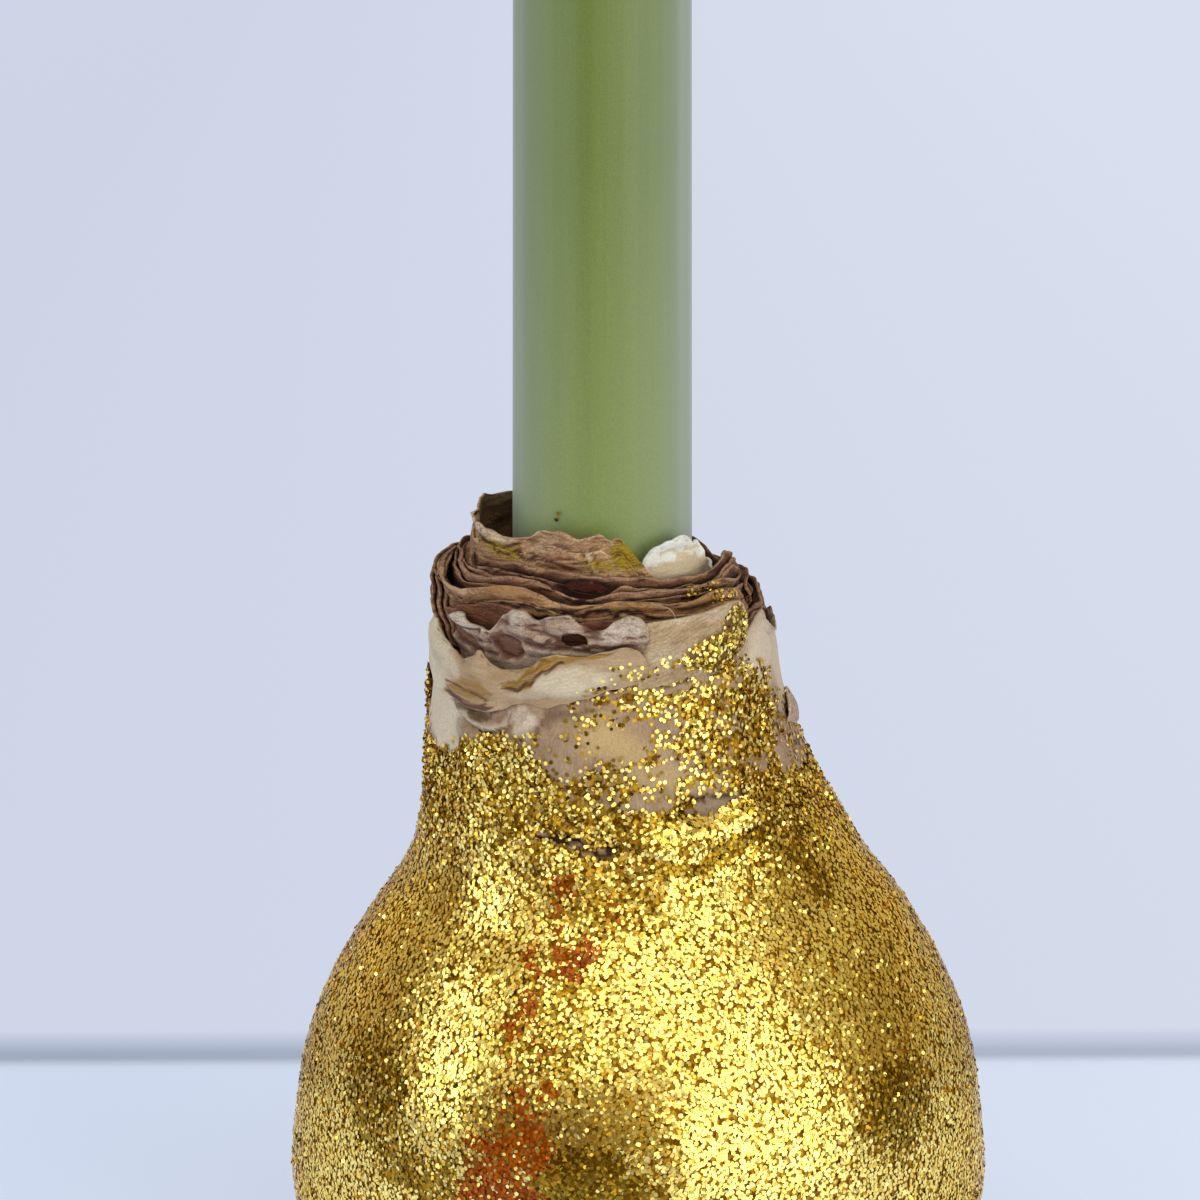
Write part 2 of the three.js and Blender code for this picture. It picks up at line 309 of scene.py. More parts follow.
def skin_swell(azimuth: Array, height: Array) -> Array:
    """Return the long shallow swells of the body and the upright folds of the neck.

    Args:
        azimuth: Azimuth of each place.
        height: Height of each place.

    Returns:
        The push outwards.
    """
    turn = np.radians(azimuth)
    body = ramp(height, 6, 26) * (1 - ramp(height, 78, 94))
    neck = ramp(height, 74, 90) * (1 - ramp(height, 96, 100))
    swell = np.sin(3 * turn + 0.03 * height + 0.6) + 0.75 * np.sin(5 * turn - 0.06 * height)
    fold = np.sin(8 * turn + 1.2) + 0.7 * np.sin(13 * turn - 0.7)
    return 0.4 * body * swell + 0.3 * neck * fold


def nest_push(azimuth: Array, share: float) -> Array:
    """Return the outward push that the nested scales share: ripples, and a wide bulge on the left."""
    turn = np.radians(azimuth)
    bulge = np.where(azimuth < -110, ramp(azimuth, -178, -125), 1 - ramp(azimuth, -95, -35))
    return 0.22 * np.sin(4 * turn + 0.8) + 0.14 * np.sin(9 * turn - 1.1) + share * 2.1 * bulge


def rounded(points: Sequence[tuple[float, float]], count: int) -> list[tuple[float, float]]:
    """Return evenly spaced points on a smooth curve through the given ones.

    Args:
        points: (radius, height) points of the curve.
        count: How many points to return.

    Returns:
        The curve's points, from its first to its last.
    """
    given = np.array([points[0], *points, points[-1]], float)
    dense = []
    for first, second, third, fourth in zip(given, given[1:], given[2:], given[3:]):
        for share in np.linspace(0, 1, 40, endpoint=False):
            tangent_in = (third - first) / 2
            tangent_out = (fourth - second) / 2
            square, cube = share ** 2, share ** 3
            dense.append(
                (2 * cube - 3 * square + 1) * second + (cube - 2 * square + share) * tangent_in
                + (3 * square - 2 * cube) * third + (cube - square) * tangent_out
            )
    dense.append(given[-1])
    line = np.array(dense)
    reach = np.concatenate([[0], np.cumsum(np.linalg.norm(np.diff(line, axis=0), axis=1))])
    even = np.linspace(0, reach[-1], count)
    return list(zip(np.interp(even, reach, line[:, 0]), np.interp(even, reach, line[:, 1])))


# Mesh tools.


def select_none() -> None:
    """Leave no object selected."""
    for thing in bpy.context.selected_objects:
        thing.select_set(False)


def select_only(*things: Thing) -> None:
    """Select some objects and nothing else, and make the first of them active."""
    select_none()
    for thing in things:
        thing.select_set(True)
    bpy.context.view_layer.objects.active = things[0]


def in_edit_mode(thing: Thing) -> None:
    """Open an object's mesh for editing, with everything in it selected."""
    select_only(thing)
    bpy.ops.object.mode_set(mode="EDIT")
    bpy.ops.mesh.select_all(action="SELECT")


def places_of(thing: Thing) -> Array:
    """Return the mesh's places, one row for each vertex."""
    flat = np.empty(len(thing.data.vertices) * 3)
    thing.data.vertices.foreach_get("co", flat)
    return flat.reshape(-1, 3)


def put_places(thing: Thing, places: Array) -> None:
    """Move the mesh's vertices to new places."""
    thing.data.vertices.foreach_set("co", places.ravel())
    thing.data.update()


def normals_of(thing: Thing) -> Array:
    """Return the mesh's vertex normals, one row for each vertex."""
    flat = np.empty(len(thing.data.vertices) * 3, np.float32)
    thing.data.vertex_normals.foreach_get("vector", flat)
    return flat.reshape(-1, 3).astype(float)


def hollows_of(thing: Thing) -> Array:
    """Measure how hollow the mesh is at each vertex, averaged with its neighbours.

    Args:
        thing: The mesh, in millimetres.

    Returns:
        The curvature in 1/mm, above 0 in creases and below 0 on ridges.
    """
    mesh = thing.data
    ends = np.empty(len(mesh.edges) * 2, np.int32)
    mesh.edges.foreach_get("vertices", ends)
    ends = ends.reshape(-1, 2)
    places, normals = places_of(thing), normals_of(thing)
    step = places[ends[:, 1]] - places[ends[:, 0]]
    square = np.maximum((step ** 2).sum(axis=1), 1e-6)
    count = np.bincount(ends.ravel(), minlength=len(places))
    rise = [(way * step * normals[ends[:, side]]).sum(axis=1) / square for side, way in ((0, 1), (1, -1))]
    hollow = np.bincount(ends[:, 0], rise[0], len(places)) + np.bincount(ends[:, 1], rise[1], len(places))
    hollow /= np.maximum(count, 1)
    near = np.bincount(ends[:, 0], hollow[ends[:, 1]], len(places))
    near += np.bincount(ends[:, 1], hollow[ends[:, 0]], len(places))
    return 0.5 * hollow + 0.5 * near / np.maximum(count, 1)


def write_attribute(thing: Thing, name: str, values: Array) -> None:
    """Store one number for each vertex, for the materials to read."""
    attribute = thing.data.attributes.new(name, "FLOAT", "POINT")
    attribute.data.foreach_set("value", np.asarray(values, np.float32))


def apply_modifier(thing: Thing, kind: str, **settings: Any) -> None:
    """Add a modifier with the given settings and apply it.

    Args:
        thing: The object.
        kind: The kind of modifier.
        settings: Values of its own properties.
    """
    select_only(thing)
    modifier = thing.modifiers.new(kind.title(), kind)
    for name, value in settings.items():
        setattr(modifier, name, value)
    bpy.ops.object.modifier_apply(modifier=modifier.name)


def sort_faces(thing: Thing) -> None:
    """Put the mesh's faces in the order of their corners, which would else change from run to run.

    Args:
        thing: The object, whose corners always come in the same order.
    """
    faces = []
    for face in thing.data.polygons:
        corners = list(face.vertices)
        first = corners.index(min(corners))
        faces.append(corners[first:] + corners[:first])
    mesh = bpy.data.meshes.new(thing.name)
    mesh.from_pydata(places_of(thing).tolist(), [], sorted(faces))
    thing.data = mesh


def spun(name: str, outline: Sequence[tuple[float, float]], steps: int) -> Thing:
    """Turn an outline round the upright axis into a closed body.

    Args:
        name: Name of the new object.
        outline: (radius, height) points, which start and end on the axis.
        steps: How many sides the body has.

    Returns:
        The body, still in millimetres.
    """
    select_none()
    bpy.ops.mesh.primitive_plane_add(size=1, location=(outline[0][0], 0, outline[0][1]))
    body = bpy.context.active_object
    body.name = name
    in_edit_mode(body)
    bpy.ops.mesh.merge(type="CENTER")
    for (radius, height), (next_radius, next_height) in zip(outline, outline[1:]):
        move = (next_radius - radius, 0, next_height - height)
        bpy.ops.mesh.extrude_region_move(TRANSFORM_OT_translate={"value": move})
    bpy.ops.mesh.select_all(action="SELECT")
    bpy.ops.mesh.spin(steps=steps, angle=2 * math.pi, center=(0, 0, 0), axis=(0, 0, 1))
    bpy.ops.mesh.select_all(action="SELECT")
    bpy.ops.mesh.remove_doubles(threshold=0.002)
    bpy.ops.mesh.normals_make_consistent(inside=False)
    bpy.ops.object.mode_set(mode="OBJECT")
    sort_faces(body)
    put_places(body, places_of(body) + np.array(body.location))
    body.location = (0, 0, 0)
    return body


def grid(name: str, columns: int, rows: int) -> Thing:
    """Add a flat unit sheet with its own UV map, columns by rows faces.

    Args:
        name: Name of the sheet.
        columns: Faces along x.
        rows: Faces along y.

    Returns:
        The sheet.
    """
    select_none()
    bpy.ops.mesh.primitive_grid_add(x_subdivisions=columns, y_subdivisions=rows, size=1, calc_uvs=True)
    sheet = bpy.context.active_object
    sheet.name = name
    return sheet


def joined(pieces: Sequence[Thing]) -> Thing:
    """Join pieces into the first of them.

    Args:
        pieces: The pieces.

    Returns:
        The first of them, which now holds them all.
    """
    select_only(*pieces)
    if len(pieces) > 1:
        bpy.ops.object.join()
    return pieces[0]


def sheet_uv(thing: Thing) -> Array:
    """Return each vertex's place on the flat sheet that it came from, both from 0 to 1.

    Args:
        thing: The sheet.

    Returns:
        A row (across, up) for each vertex.
    """
    mesh = thing.data
    flat = np.empty(len(mesh.loops) * 2, np.float32)
    mesh.uv_layers.active.data.foreach_get("uv", flat)
    corners = np.empty(len(mesh.loops), np.int32)
    mesh.loops.foreach_get("vertex_index", corners)
    result = np.zeros((len(mesh.vertices), 2))
    result[corners] = flat.reshape(-1, 2)
    return result


def finish_piece(thing: Thing, nodes: Sequence[str], smooth: float = 40) -> None:
    """Turn a piece into metres, smooth it and hang it on the model.

    Args:
        thing: The piece, in millimetres.
        nodes: The model's nodes that it stands for.
        smooth: Largest angle between two faces that are shaded as one surface, in degrees.
    """
    put_places(thing, places_of(thing) * MM)
    select_only(thing)
    if smooth:
        bpy.ops.object.shade_smooth_by_angle(angle=math.radians(smooth))
    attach(thing, "root")
    if nodes:
        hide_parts(*nodes)
    log.info("%s: %d faces", thing.name, len(thing.data.polygons))


# Shader tools.


class Graph:
    """The node tree of a material, a world or a node group, with short calls for its nodes."""

    def __init__(self, tree: bpy.types.NodeTree) -> None:
        """Take over an empty tree."""
        self.tree = tree

    def add(self, kind: str, inputs: dict[str | int, Any] | None = None, **settings: Any) -> bpy.types.Node:
        """Add a node.

        Args:
            kind: The node's class name, without its "ShaderNode" start.
            inputs: Values or sockets for its inputs, by their name or number.
            settings: Values of its own properties.

        Returns:
            The new node.
        """
        node = self.tree.nodes.new(kind if kind.startswith("Node") else "ShaderNode" + kind)
        for name, value in settings.items():
            setattr(node, name, value)
        for name, value in (inputs or {}).items():
            self.feed(node.inputs[name], value)
        return node

    def feed(self, socket: Socket, value: Any) -> None:
        """Link a socket to an input, or set the input's own value.

        Args:
            socket: The input.
            value: A socket, a number, a vector or a colour.
        """
        if isinstance(value, Socket):
            self.tree.links.new(value, socket)
        elif isinstance(value, tuple) and len(value) == 3 and socket.type == "RGBA":
            socket.default_value = (*value, 1)
        else:
            socket.default_value = value

    def mix(self, first: Any, second: Any, share: Any, kind: str = "MIX") -> Socket:
        """Return the mix of two colours."""
        node = self.add("Mix", {0: share, 6: first, 7: second}, data_type="RGBA", blend_type=kind)
        return node.outputs[2]

    def math(self, operation: str, first: Any, second: Any = 0.0) -> Socket:
        """Return the result of a sum on two numbers."""
        return self.add("Math", {0: first, 1: second}, operation=operation).outputs[0]

    def stretch(self, value: Any, low: float, high: float, to_low: float = 0, to_high: float = 1) -> Any:
        """Return a number moved from one range to another and held inside it."""
        inputs = {"Value": value, "From Min": low, "From Max": high, "To Min": to_low, "To Max": to_high}
        return self.add("MapRange", inputs).outputs[0]

    def number(self, name: str) -> Socket:
        """Return one of the mesh's own attributes, as a number."""
        return self.add("Attribute", attribute_name=name).outputs["Fac"]

    def noise(self, vector: Any, scale: float, detail: float = 3, rough: float = 0.55) -> Any:
        """Return a soft noise from 0 to 1."""
        inputs = {"Vector": vector, "Scale": scale, "Detail": detail, "Roughness": rough}
        return self.add("TexNoise", inputs).outputs[0]

    def bump(self, height: Any, distance: float, strength: float) -> Socket:
        """Return a normal raised by a height."""
        return self.add("Bump", {"Height": height, "Distance": distance, "Strength": strength}).outputs[0]

    def vector(self, operation: str, first: Any, second: Any = (0.0, 0.0, 0.0)) -> Socket:
        """Return the result of a sum on two vectors."""
        return self.add("VectorMath", {0: first, 1: second}, operation=operation).outputs[0]

    def dress(self, shader: bpy.types.Node, finish: dict[str, Any]) -> None:
        """Link or set several inputs of a shader or a group, by their names."""
        for name, value in finish.items():
            self.feed(shader.inputs[name], value)


def new_material(name: str) -> tuple[Material, Graph, bpy.types.Node]:
    """Make an empty material whose nodes can be added.

    Args:
        name: Name of the material.

    Returns:
        The material, its graph and its shader.
    """
    made = bpy.data.materials.new(name)
    made.use_nodes = True
    shader = made.node_tree.nodes["Principled BSDF"]
    return made, Graph(made.node_tree), shader


def fibre_group() -> bpy.types.NodeTree:
    """Build the shared effect of a dry plant skin: long fibres, wrinkles, blotches and small specks.

    Returns:
        A group that takes a Vector on the sheet in metres, the fibres' Pitch and Length and the Wrinkle
        size, and puts out Fibre, Blotch, Crease and Speck masks from 0 to 1, and the relief's Height.
    """
    tree = bpy.data.node_groups.new("plant_fibres", "ShaderNodeTree")
    face = tree.interface
    face.new_socket("Vector", in_out="INPUT", socket_type="NodeSocketVector")
    for name in ("Pitch", "Length", "Wrinkle"):
        face.new_socket(name, in_out="INPUT", socket_type="NodeSocketFloat")
    for name in ("Fibre", "Blotch", "Crease", "Speck", "Height"):
        face.new_socket(name, in_out="OUTPUT", socket_type="NodeSocketFloat")
    graph = Graph(tree)
    given = graph.add("NodeGroupInput")
    result = graph.add("NodeGroupOutput")
    vector = given.outputs["Vector"]
    wavy = graph.add("TexNoise", {"Vector": vector, "Scale": 420.0, "Detail": 2.0}).outputs["Color"]
    bent = graph.vector("ADD", vector, graph.vector("MULTIPLY", wavy, (0.0009, 0.0014, 0.0009)))
    pitches = graph.math("DIVIDE", 1.0, given.outputs["Pitch"])
    lengths = graph.math("DIVIDE", 1.0, given.outputs["Length"])
    stretch = graph.add("CombineXYZ", {"X": lengths, "Y": pitches, "Z": 1.0}).outputs[0]
    drawn = graph.vector("MULTIPLY", bent, stretch)
    fibre = graph.stretch(graph.noise(drawn, 1.0, 5, 0.62), 0.33, 0.67)
    tall = graph.math("DIVIDE", 1.0, given.outputs["Wrinkle"])
    long = graph.math("MULTIPLY", tall, 0.28)
    wide = graph.add("CombineXYZ", {"X": long, "Y": tall, "Z": 1.0}).outputs[0]
    wave = graph.noise(graph.vector("MULTIPLY", bent, wide), 1.0, 3, 0.5)
    away = graph.math("ABSOLUTE", graph.math("SUBTRACT", wave, 0.5))
    crease = graph.stretch(away, 0.0, 0.032, 1.0, 0.0)
    blotch = graph.stretch(graph.noise(vector, 300.0, 4), 0.38, 0.62)
    grain = graph.noise(vector, 3200.0, 2)
    speck = graph.stretch(graph.noise(vector, 1700.0, 1), 0.66, 0.73)
    height = graph.math("ADD", graph.math("MULTIPLY", fibre, 0.3), graph.math("MULTIPLY", grain, 0.25))
    height = graph.math("ADD", height, graph.math("MULTIPLY", wave, 0.9))
    height = graph.math("SUBTRACT", height, graph.math("MULTIPLY", crease, 0.3))
    for name, value in (("Fibre", fibre), ("Blotch", blotch), ("Crease", crease), ("Speck", speck),
                        ("Height", height)):
        graph.feed(result.inputs[name], value)
    return tree


@dataclass(frozen=True)
class Paper:
    """The finish of a dry or wilted scale.

    Attributes:
        name: Name of the material.
        body: Main colour of the sheet.
        light: Colour of its lighter fibres.
        dark: Colour of its darker fibres and blotches.
        shade: Colour of the painted shade in its creases and gaps, also used for its dark stripes.
        stain: Colour of its stained patches.
        pale_and_highlight: Colour of its pale patches and of the painted highlight on its rim and ridges.
        rough: Roughness of the surface.
        sheen: Strength of the soft sheen at grazing light.
        glow: Share of light that passes under the surface.
        relief: Depth of the fibres and wrinkles in millimetres.
        pitch: Distance between fibres in millimetres.
        length: Length of the fibres in millimetres.
        wrinkle: Distance between wrinkles in millimetres.
        fibres: Contrast of the fibres, from 0 to 1.
        creases: Strength of the painted shade in its wrinkle lines.
        speck: Strength of the small dark specks.
        stripes: How far the fibres break up the stains.
        mottle: Strength of the fine light and dark grain.
    """

    name: str
    body: Colour
    light: Colour
    dark: Colour
    shade: Colour = srgb(44, 20, 9)
    stain: Colour = srgb(150, 116, 40)
    pale_and_highlight: Colour = srgb(196, 174, 146)
    rough: float = 0.8
    sheen: float = 0.03
    glow: float = 0.0
    relief: float = 0.3
    pitch: float = 0.24
    length: float = 3.2
    wrinkle: float = 1.1
    fibres: float = 0.7
    creases: float = 0.5
    speck: float = 0.5
    stripes: float = 0.4
    mottle: float = 0.8

    def material(self, fibres: bpy.types.NodeTree) -> Material:
        """Build the material, which reads the sheet's UV map, its painted shade, its stain, and its pale
        patches and painted highlights.

        Args:
            fibres: The group that draws the fibres.

        Returns:
            The material.
        """
        made, graph, shader = new_material(self.name)
        sheet = graph.add("UVMap", uv_map="UVMap").outputs[0]
        group = graph.add("Group", node_tree=fibres)
        graph.dress(group, {"Vector": sheet, "Pitch": self.pitch * MM, "Length": self.length * MM,
                            "Wrinkle": self.wrinkle * MM})
        fibre, blotch, crease, speck, height = group.outputs
        low = graph.stretch(fibre, 0.0, 0.5, self.fibres, 0.0)
        high = graph.stretch(fibre, 0.5, 1.0, 0.0, self.fibres)
        colour = graph.mix(graph.mix(self.body, self.dark, low), self.light, high)
        colour = graph.mix(colour, self.dark, graph.math("MULTIPLY", blotch, 0.55))
        # Pale patches, and painted highlights on the rim and ridges.
        pale_and_highlight = graph.math("MULTIPLY", graph.number("pale_and_highlight"), graph.stretch(blotch, 0.0, 1.0, 1.0, 0.6))
        colour = graph.mix(colour, self.pale_and_highlight, pale_and_highlight)
        stripes = graph.stretch(fibre, 0.1, 0.6, 1 - 0.7 * self.stripes, 1.0)
        stained = graph.mix(graph.mix(self.stain, self.shade, 0.3), self.stain, stripes)
        colour = graph.mix(colour, stained, graph.math("MULTIPLY", graph.number("stain"), stripes))
        # Real dark specks, and painted shade along the wrinkle lines.
        specks_and_crease_shade = graph.math("MULTIPLY", speck, self.speck)
        specks_and_crease_shade = graph.math("MAXIMUM", specks_and_crease_shade, graph.math("MULTIPLY", crease, self.creases))
        colour = graph.mix(colour, graph.mix(self.shade, self.dark, 0.35), specks_and_crease_shade)
        # Painted shade where the sheet's shade attribute asks for it.
        colour = graph.mix(colour, self.shade, graph.number("shade"))
        grain = graph.stretch(graph.noise(sheet, 3600.0, 3, 0.7), 0.36, 0.64, 0.72, 1.2)
        colour = graph.mix(colour, grain, self.mottle, "MULTIPLY")
        graph.dress(shader, {
            "Base Color": colour,
            "Roughness": graph.stretch(fibre, 0, 1, self.rough - 0.1, self.rough + 0.1),
            "Normal": graph.bump(height, self.relief * MM, 0.8),
            "Sheen Weight": self.sheen, "Sheen Roughness": 0.5, "Specular IOR Level": 0.2})
        if self.glow:
            graph.dress(shader, {"Subsurface Weight": self.glow, "Subsurface Radius": (1.0, 0.5, 0.25),
                                 "Subsurface Scale": 0.002})
        return made


class PaperKind(Enum):
    """The finishes of the scales."""

    TAN = Paper("tan_paper_scale", srgb(186, 146, 100), srgb(214, 184, 142), srgb(136, 90, 56),
                shade=srgb(76, 34, 20), stain=srgb(162, 136, 26), pale_and_highlight=srgb(224, 200, 166), stripes=0.2,
                mottle=1.0)
    BROWN = Paper("brown_paper_scale", srgb(136, 92, 58), srgb(174, 132, 90), srgb(84, 46, 26),
                  shade=srgb(36, 10, 4), stain=srgb(164, 120, 56), pale_and_highlight=srgb(190, 152, 120), mottle=1.0)
    OCHRE = Paper("ochre_paper_scale", srgb(178, 132, 86), srgb(206, 168, 120), srgb(128, 80, 48),
                  shade=srgb(40, 14, 5), stain=srgb(166, 122, 62), pale_and_highlight=srgb(196, 164, 126), wrinkle=1.4)
    DARK = Paper("dark_paper_scale", srgb(124, 78, 50), srgb(150, 102, 66), srgb(90, 48, 28),
                 shade=srgb(36, 10, 4), stain=srgb(120, 70, 40), pale_and_highlight=srgb(164, 122, 96))
    MAUVE = Paper("mauve_wilted_scale", srgb(176, 150, 126), srgb(196, 174, 152), srgb(142, 112, 90),
                  shade=srgb(78, 38, 20), stain=srgb(122, 84, 60), pale_and_highlight=srgb(210, 196, 176),
                  rough=0.62, glow=0.12, relief=0.16, length=1.0, fibres=0.45, creases=0.4, speck=0.35,
                  mottle=1.0)
    CREAM = Paper("cream_paper_scale", srgb(186, 160, 120), srgb(206, 184, 146), srgb(154, 122, 84),
                  shade=srgb(92, 56, 30), stain=srgb(120, 84, 14), pale_and_highlight=srgb(206, 188, 158),
                  rough=0.6, glow=0.1, relief=0.14, pitch=0.3, length=6.0, creases=0.3, speck=0.2)
    PALE = Paper("pale_skin_scale", srgb(184, 156, 120), srgb(200, 176, 140), srgb(158, 126, 94),
                 shade=srgb(84, 46, 28), stain=srgb(152, 112, 30), pale_and_highlight=srgb(212, 198, 168),
                 rough=0.55, glow=0.15, relief=0.08, pitch=0.34, length=7.0, wrinkle=1.8, fibres=0.35,
                 creases=0.12, speck=0.05, stripes=1.0, mottle=0.5)
    FLESH = Paper("white_flesh_scale", srgb(228, 226, 214), srgb(238, 238, 230), srgb(214, 206, 184),
                  shade=srgb(196, 178, 144), stain=srgb(204, 178, 138), pale_and_highlight=srgb(242, 242, 236),
                  rough=0.5, glow=0.2, relief=0.1, pitch=0.22, length=5.0, fibres=0.4, creases=0.15,
                  speck=0.0, mottle=0.4)


@dataclass
class Scale:
    """One scale of the neck: a thin torn sheet bent round it, with its foot in the bulb's socket.

    Attributes:
        name: Name of the piece.
        node: The model's node that it stands for.
        slot: The record's material slot; not used.
        finish: Its finish.
        start: Azimuth of one side edge.
        end: Azimuth of the other side edge.
        inner: Radius of its inner face near the foot.
        rim: Height of its upper edge round the neck.
        flare: Radius added with height.
        thickness: Thickness of the sheet.
        model_thickness: Thickness of the same scale in the model, whose middle the sheet follows.
        bulge: Share of the nest's bulge that it follows.
        snug: Whether it goes without ripples.
        above_wall: Whether its flare counts from the wall's rim.
        pitch: Size of the mesh's faces before they are divided.
        rows: Rows of faces from foot to rim.
        low: Height where the visible part of the sheet begins.
        tear: Depth of the tears in its rim.
        crumple: Depth of the sheet's small creases.
        plies: Its layers, each with a push outwards, a drop of its rim and a turn round the neck.
        notch: How much lower the rims of its outer layers are, round the neck.
        tuck: How far its rim bends inwards.
        gloom: Strength of the shadow tone away from its rim.
        dusk: Distance below its rim where the shadow tone is full.
        inner_shade: Strength of the painted shade on its inner face.
        lumps: Local pushes outwards.
        holes: Places torn out of the sheet.
        shades: Painted shade in creases, gaps and under edges, with a few dark stripes and grounds of the
            sheet's own.
        stains: Stained patches.
        pale_and_highlight_spots: Pale patches and painted highlights.
        edge: Strength of the painted highlight on its rim and ridges.
        grain: Angle between the sheet's fibres and the ring round the neck, in degrees.
        fray: How ragged the edges of its patches are, in millimetres.
        flow: Height of one fibre round the neck, which its neighbours follow.
        seed: Number that fixes its tears and creases.
    """

    name: str
    node: str
    slot: str
    finish: PaperKind
    start: float
    end: float
    inner: float
    rim: Keys
    flare: Keys
    thickness: float = 0.42
    model_thickness: float = 0.8
    bulge: float = 1.0
    snug: bool = False
    above_wall: bool = False
    pitch: float = 0.9
    rows: int = 14
    low: float = SCALE_FOOT
    tear: float = 0.7
    crumple: float = 0.22
    plies: tuple[tuple[float, float, float], ...] = ((0.0, 0.0, 0.0),)
    notch: Keys = ((0.0, 0.0), (1.0, 0.0))
    tuck: float = 0.0
    gloom: float = 0.0
    dusk: float = 1.9
    inner_shade: float = 0.45
    lumps: tuple[Spot | Stroke, ...] = ()
    holes: tuple[Spot, ...] = ()
    shades: tuple[Spot | Stroke, ...] = ()
    stains: tuple[Spot | Stroke, ...] = ()
    pale_and_highlight_spots: tuple[Spot | Stroke, ...] = ()
    edge: float = 0.5
    grain: float = 0.0
    fray: float = 0.3
    flow: Keys = ((0.0, 0.0), (1.0, 0.0))
    seed: int = 1
    piece: Thing | None = field(default=None, init=False)

    def radius(self, azimuth: Array, height: Array) -> Array:
        """Return the radius of the middle of the sheet."""
        push = 0 if self.snug else nest_push(azimuth, self.bulge)
        level = height - wall_rim(azimuth) if self.above_wall else height
        return self.inner + self.model_thickness / 2 + push + along(self.flare, level)

    def foot(self, azimuth: Array) -> Array:
        """Return the height of the sheet's lower edge."""
        return np.full(np.shape(azimuth), self.low)

    def middle(self, height: Array) -> Array:
        """Return the place along x of the axis that the sheet bends round."""
        return np.full(np.shape(height), NECK_OFFSET)

    def torn_rim(self, azimuth: Array, ply: int) -> Array:
        """Return the height of the torn rim, with its teeth and nicks.

        Args:
            azimuth: Azimuth of each place.
            ply: Number of the layer.

        Returns:
            The height of the rim.
        """
        turn = np.radians(azimuth)
        level = np.full(turn.shape, 0.37 * self.seed + ply)
        ring = np.column_stack([np.cos(turn), np.sin(turn), level]) * 20
        coarse = Cloud(self.seed, (3.6, 3.6, 3.6)).at(ring)
        fine = Cloud(self.seed + 7, (0.8, 0.8, 0.8)).at(ring)
        nick = ramp(Cloud(self.seed + 13, (1.6, 1.6, 1.6)).at(ring), 0.45, 0.9)
        return along(self.rim, azimuth) + self.tear * (0.45 * coarse + 0.25 * fine - 0.6 * nick)

    def build(self) -> None:
        """Bend, tear, thicken and crumple the sheet, and mark its patches."""
        reach = self.inner + 1 if self.inner else NECK_RADIUS
        columns = max(8, round(math.radians(self.end - self.start) * reach / self.pitch))
        layers = []
        for number, (push, drop, shift) in enumerate(self.plies):
            layer = grid(self.name, columns, self.rows)
            flat = places_of(layer)
            azimuth = self.start + (self.end - self.start) * (flat[:, 0] + 0.5)
            up = 1 - (0.5 - flat[:, 1]) ** 1.6
            rim = self.torn_rim(azimuth, number) - drop - (along(self.notch, azimuth) if number else 0)
            height = blend(self.foot(azimuth), rim, up)
            azimuth = azimuth + shift
            tuck = self.tuck * ramp(rim - height, 1.6, 0)
            radius = self.radius(azimuth, height) + push * ramp(up, 0, 0.4) - tuck
            turn = np.radians(azimuth)
            put_places(layer, np.column_stack([
                self.middle(height) + radius * np.sin(turn), -radius * np.cos(turn), height]))
            self.cut_holes(layer, azimuth, height)
            layers.append(layer)
        self.piece = joined(layers)
        self.piece.data.name = self.name
        apply_modifier(self.piece, "SOLIDIFY", thickness=self.thickness, offset=0)
        apply_modifier(self.piece, "SUBSURF", levels=1, render_levels=1)
        self.turn_outwards()
        self.sculpt()

    def cut_holes(self, layer: Thing, azimuth: Array, height: Array) -> None:
        """Delete the faces inside the sheet's holes.

        Args:
            layer: The layer that is cut.
            azimuth: Azimuth of each place.
            height: Height of each place.
        """
        inside = strongest(self.holes, azimuth, height) > 0.5
        if not inside.any():
            return
        in_edit_mode(layer)
        bpy.ops.mesh.select_mode(type="VERT")
        bpy.ops.mesh.select_all(action="DESELECT")
        bpy.ops.object.mode_set(mode="OBJECT")
        layer.data.vertices.foreach_set("select", inside)
        bpy.ops.object.mode_set(mode="EDIT")
        bpy.ops.mesh.delete(type="VERT")
        bpy.ops.object.mode_set(mode="OBJECT")

    def turn_outwards(self) -> None:
        """Recalculate the closed sheet's normals."""
        in_edit_mode(self.piece)
        bpy.ops.mesh.normals_make_consistent(inside=False)
        bpy.ops.object.mode_set(mode="OBJECT")

    def sculpt(self) -> None:
        """Push the lumps and creases out of the thick sheet, and store its patches and its flat map."""
        places = places_of(self.piece)
        height = places[:, 2]
        turn = np.arctan2(places[:, 0] - self.middle(height), -places[:, 1])
        middle = (self.start + self.end) / 2
        azimuth = middle + (np.degrees(turn) - middle + 180) % 360 - 180
        visible = ramp(height, 101, 106)
        ring = np.column_stack([np.radians(azimuth) * 18, height, np.full(len(turn), 0.9 * self.inner)])
        folds = Cloud(33, (6.5, 1.5, 4.0)).turbulent(ring, 3)
        creased = 0.5 - np.abs(Cloud(43, (5.0, 1.5, 3.0)).turbulent(ring, 2))
        push = visible * self.crumple * (folds + 0.8 * creased) + summed(self.lumps, azimuth, height)
        places[:, 0] += push * np.sin(turn)
        places[:, 1] -= push * np.cos(turn)
        put_places(self.piece, places)
        self.mark(azimuth, height)
        self.unroll(azimuth, height)

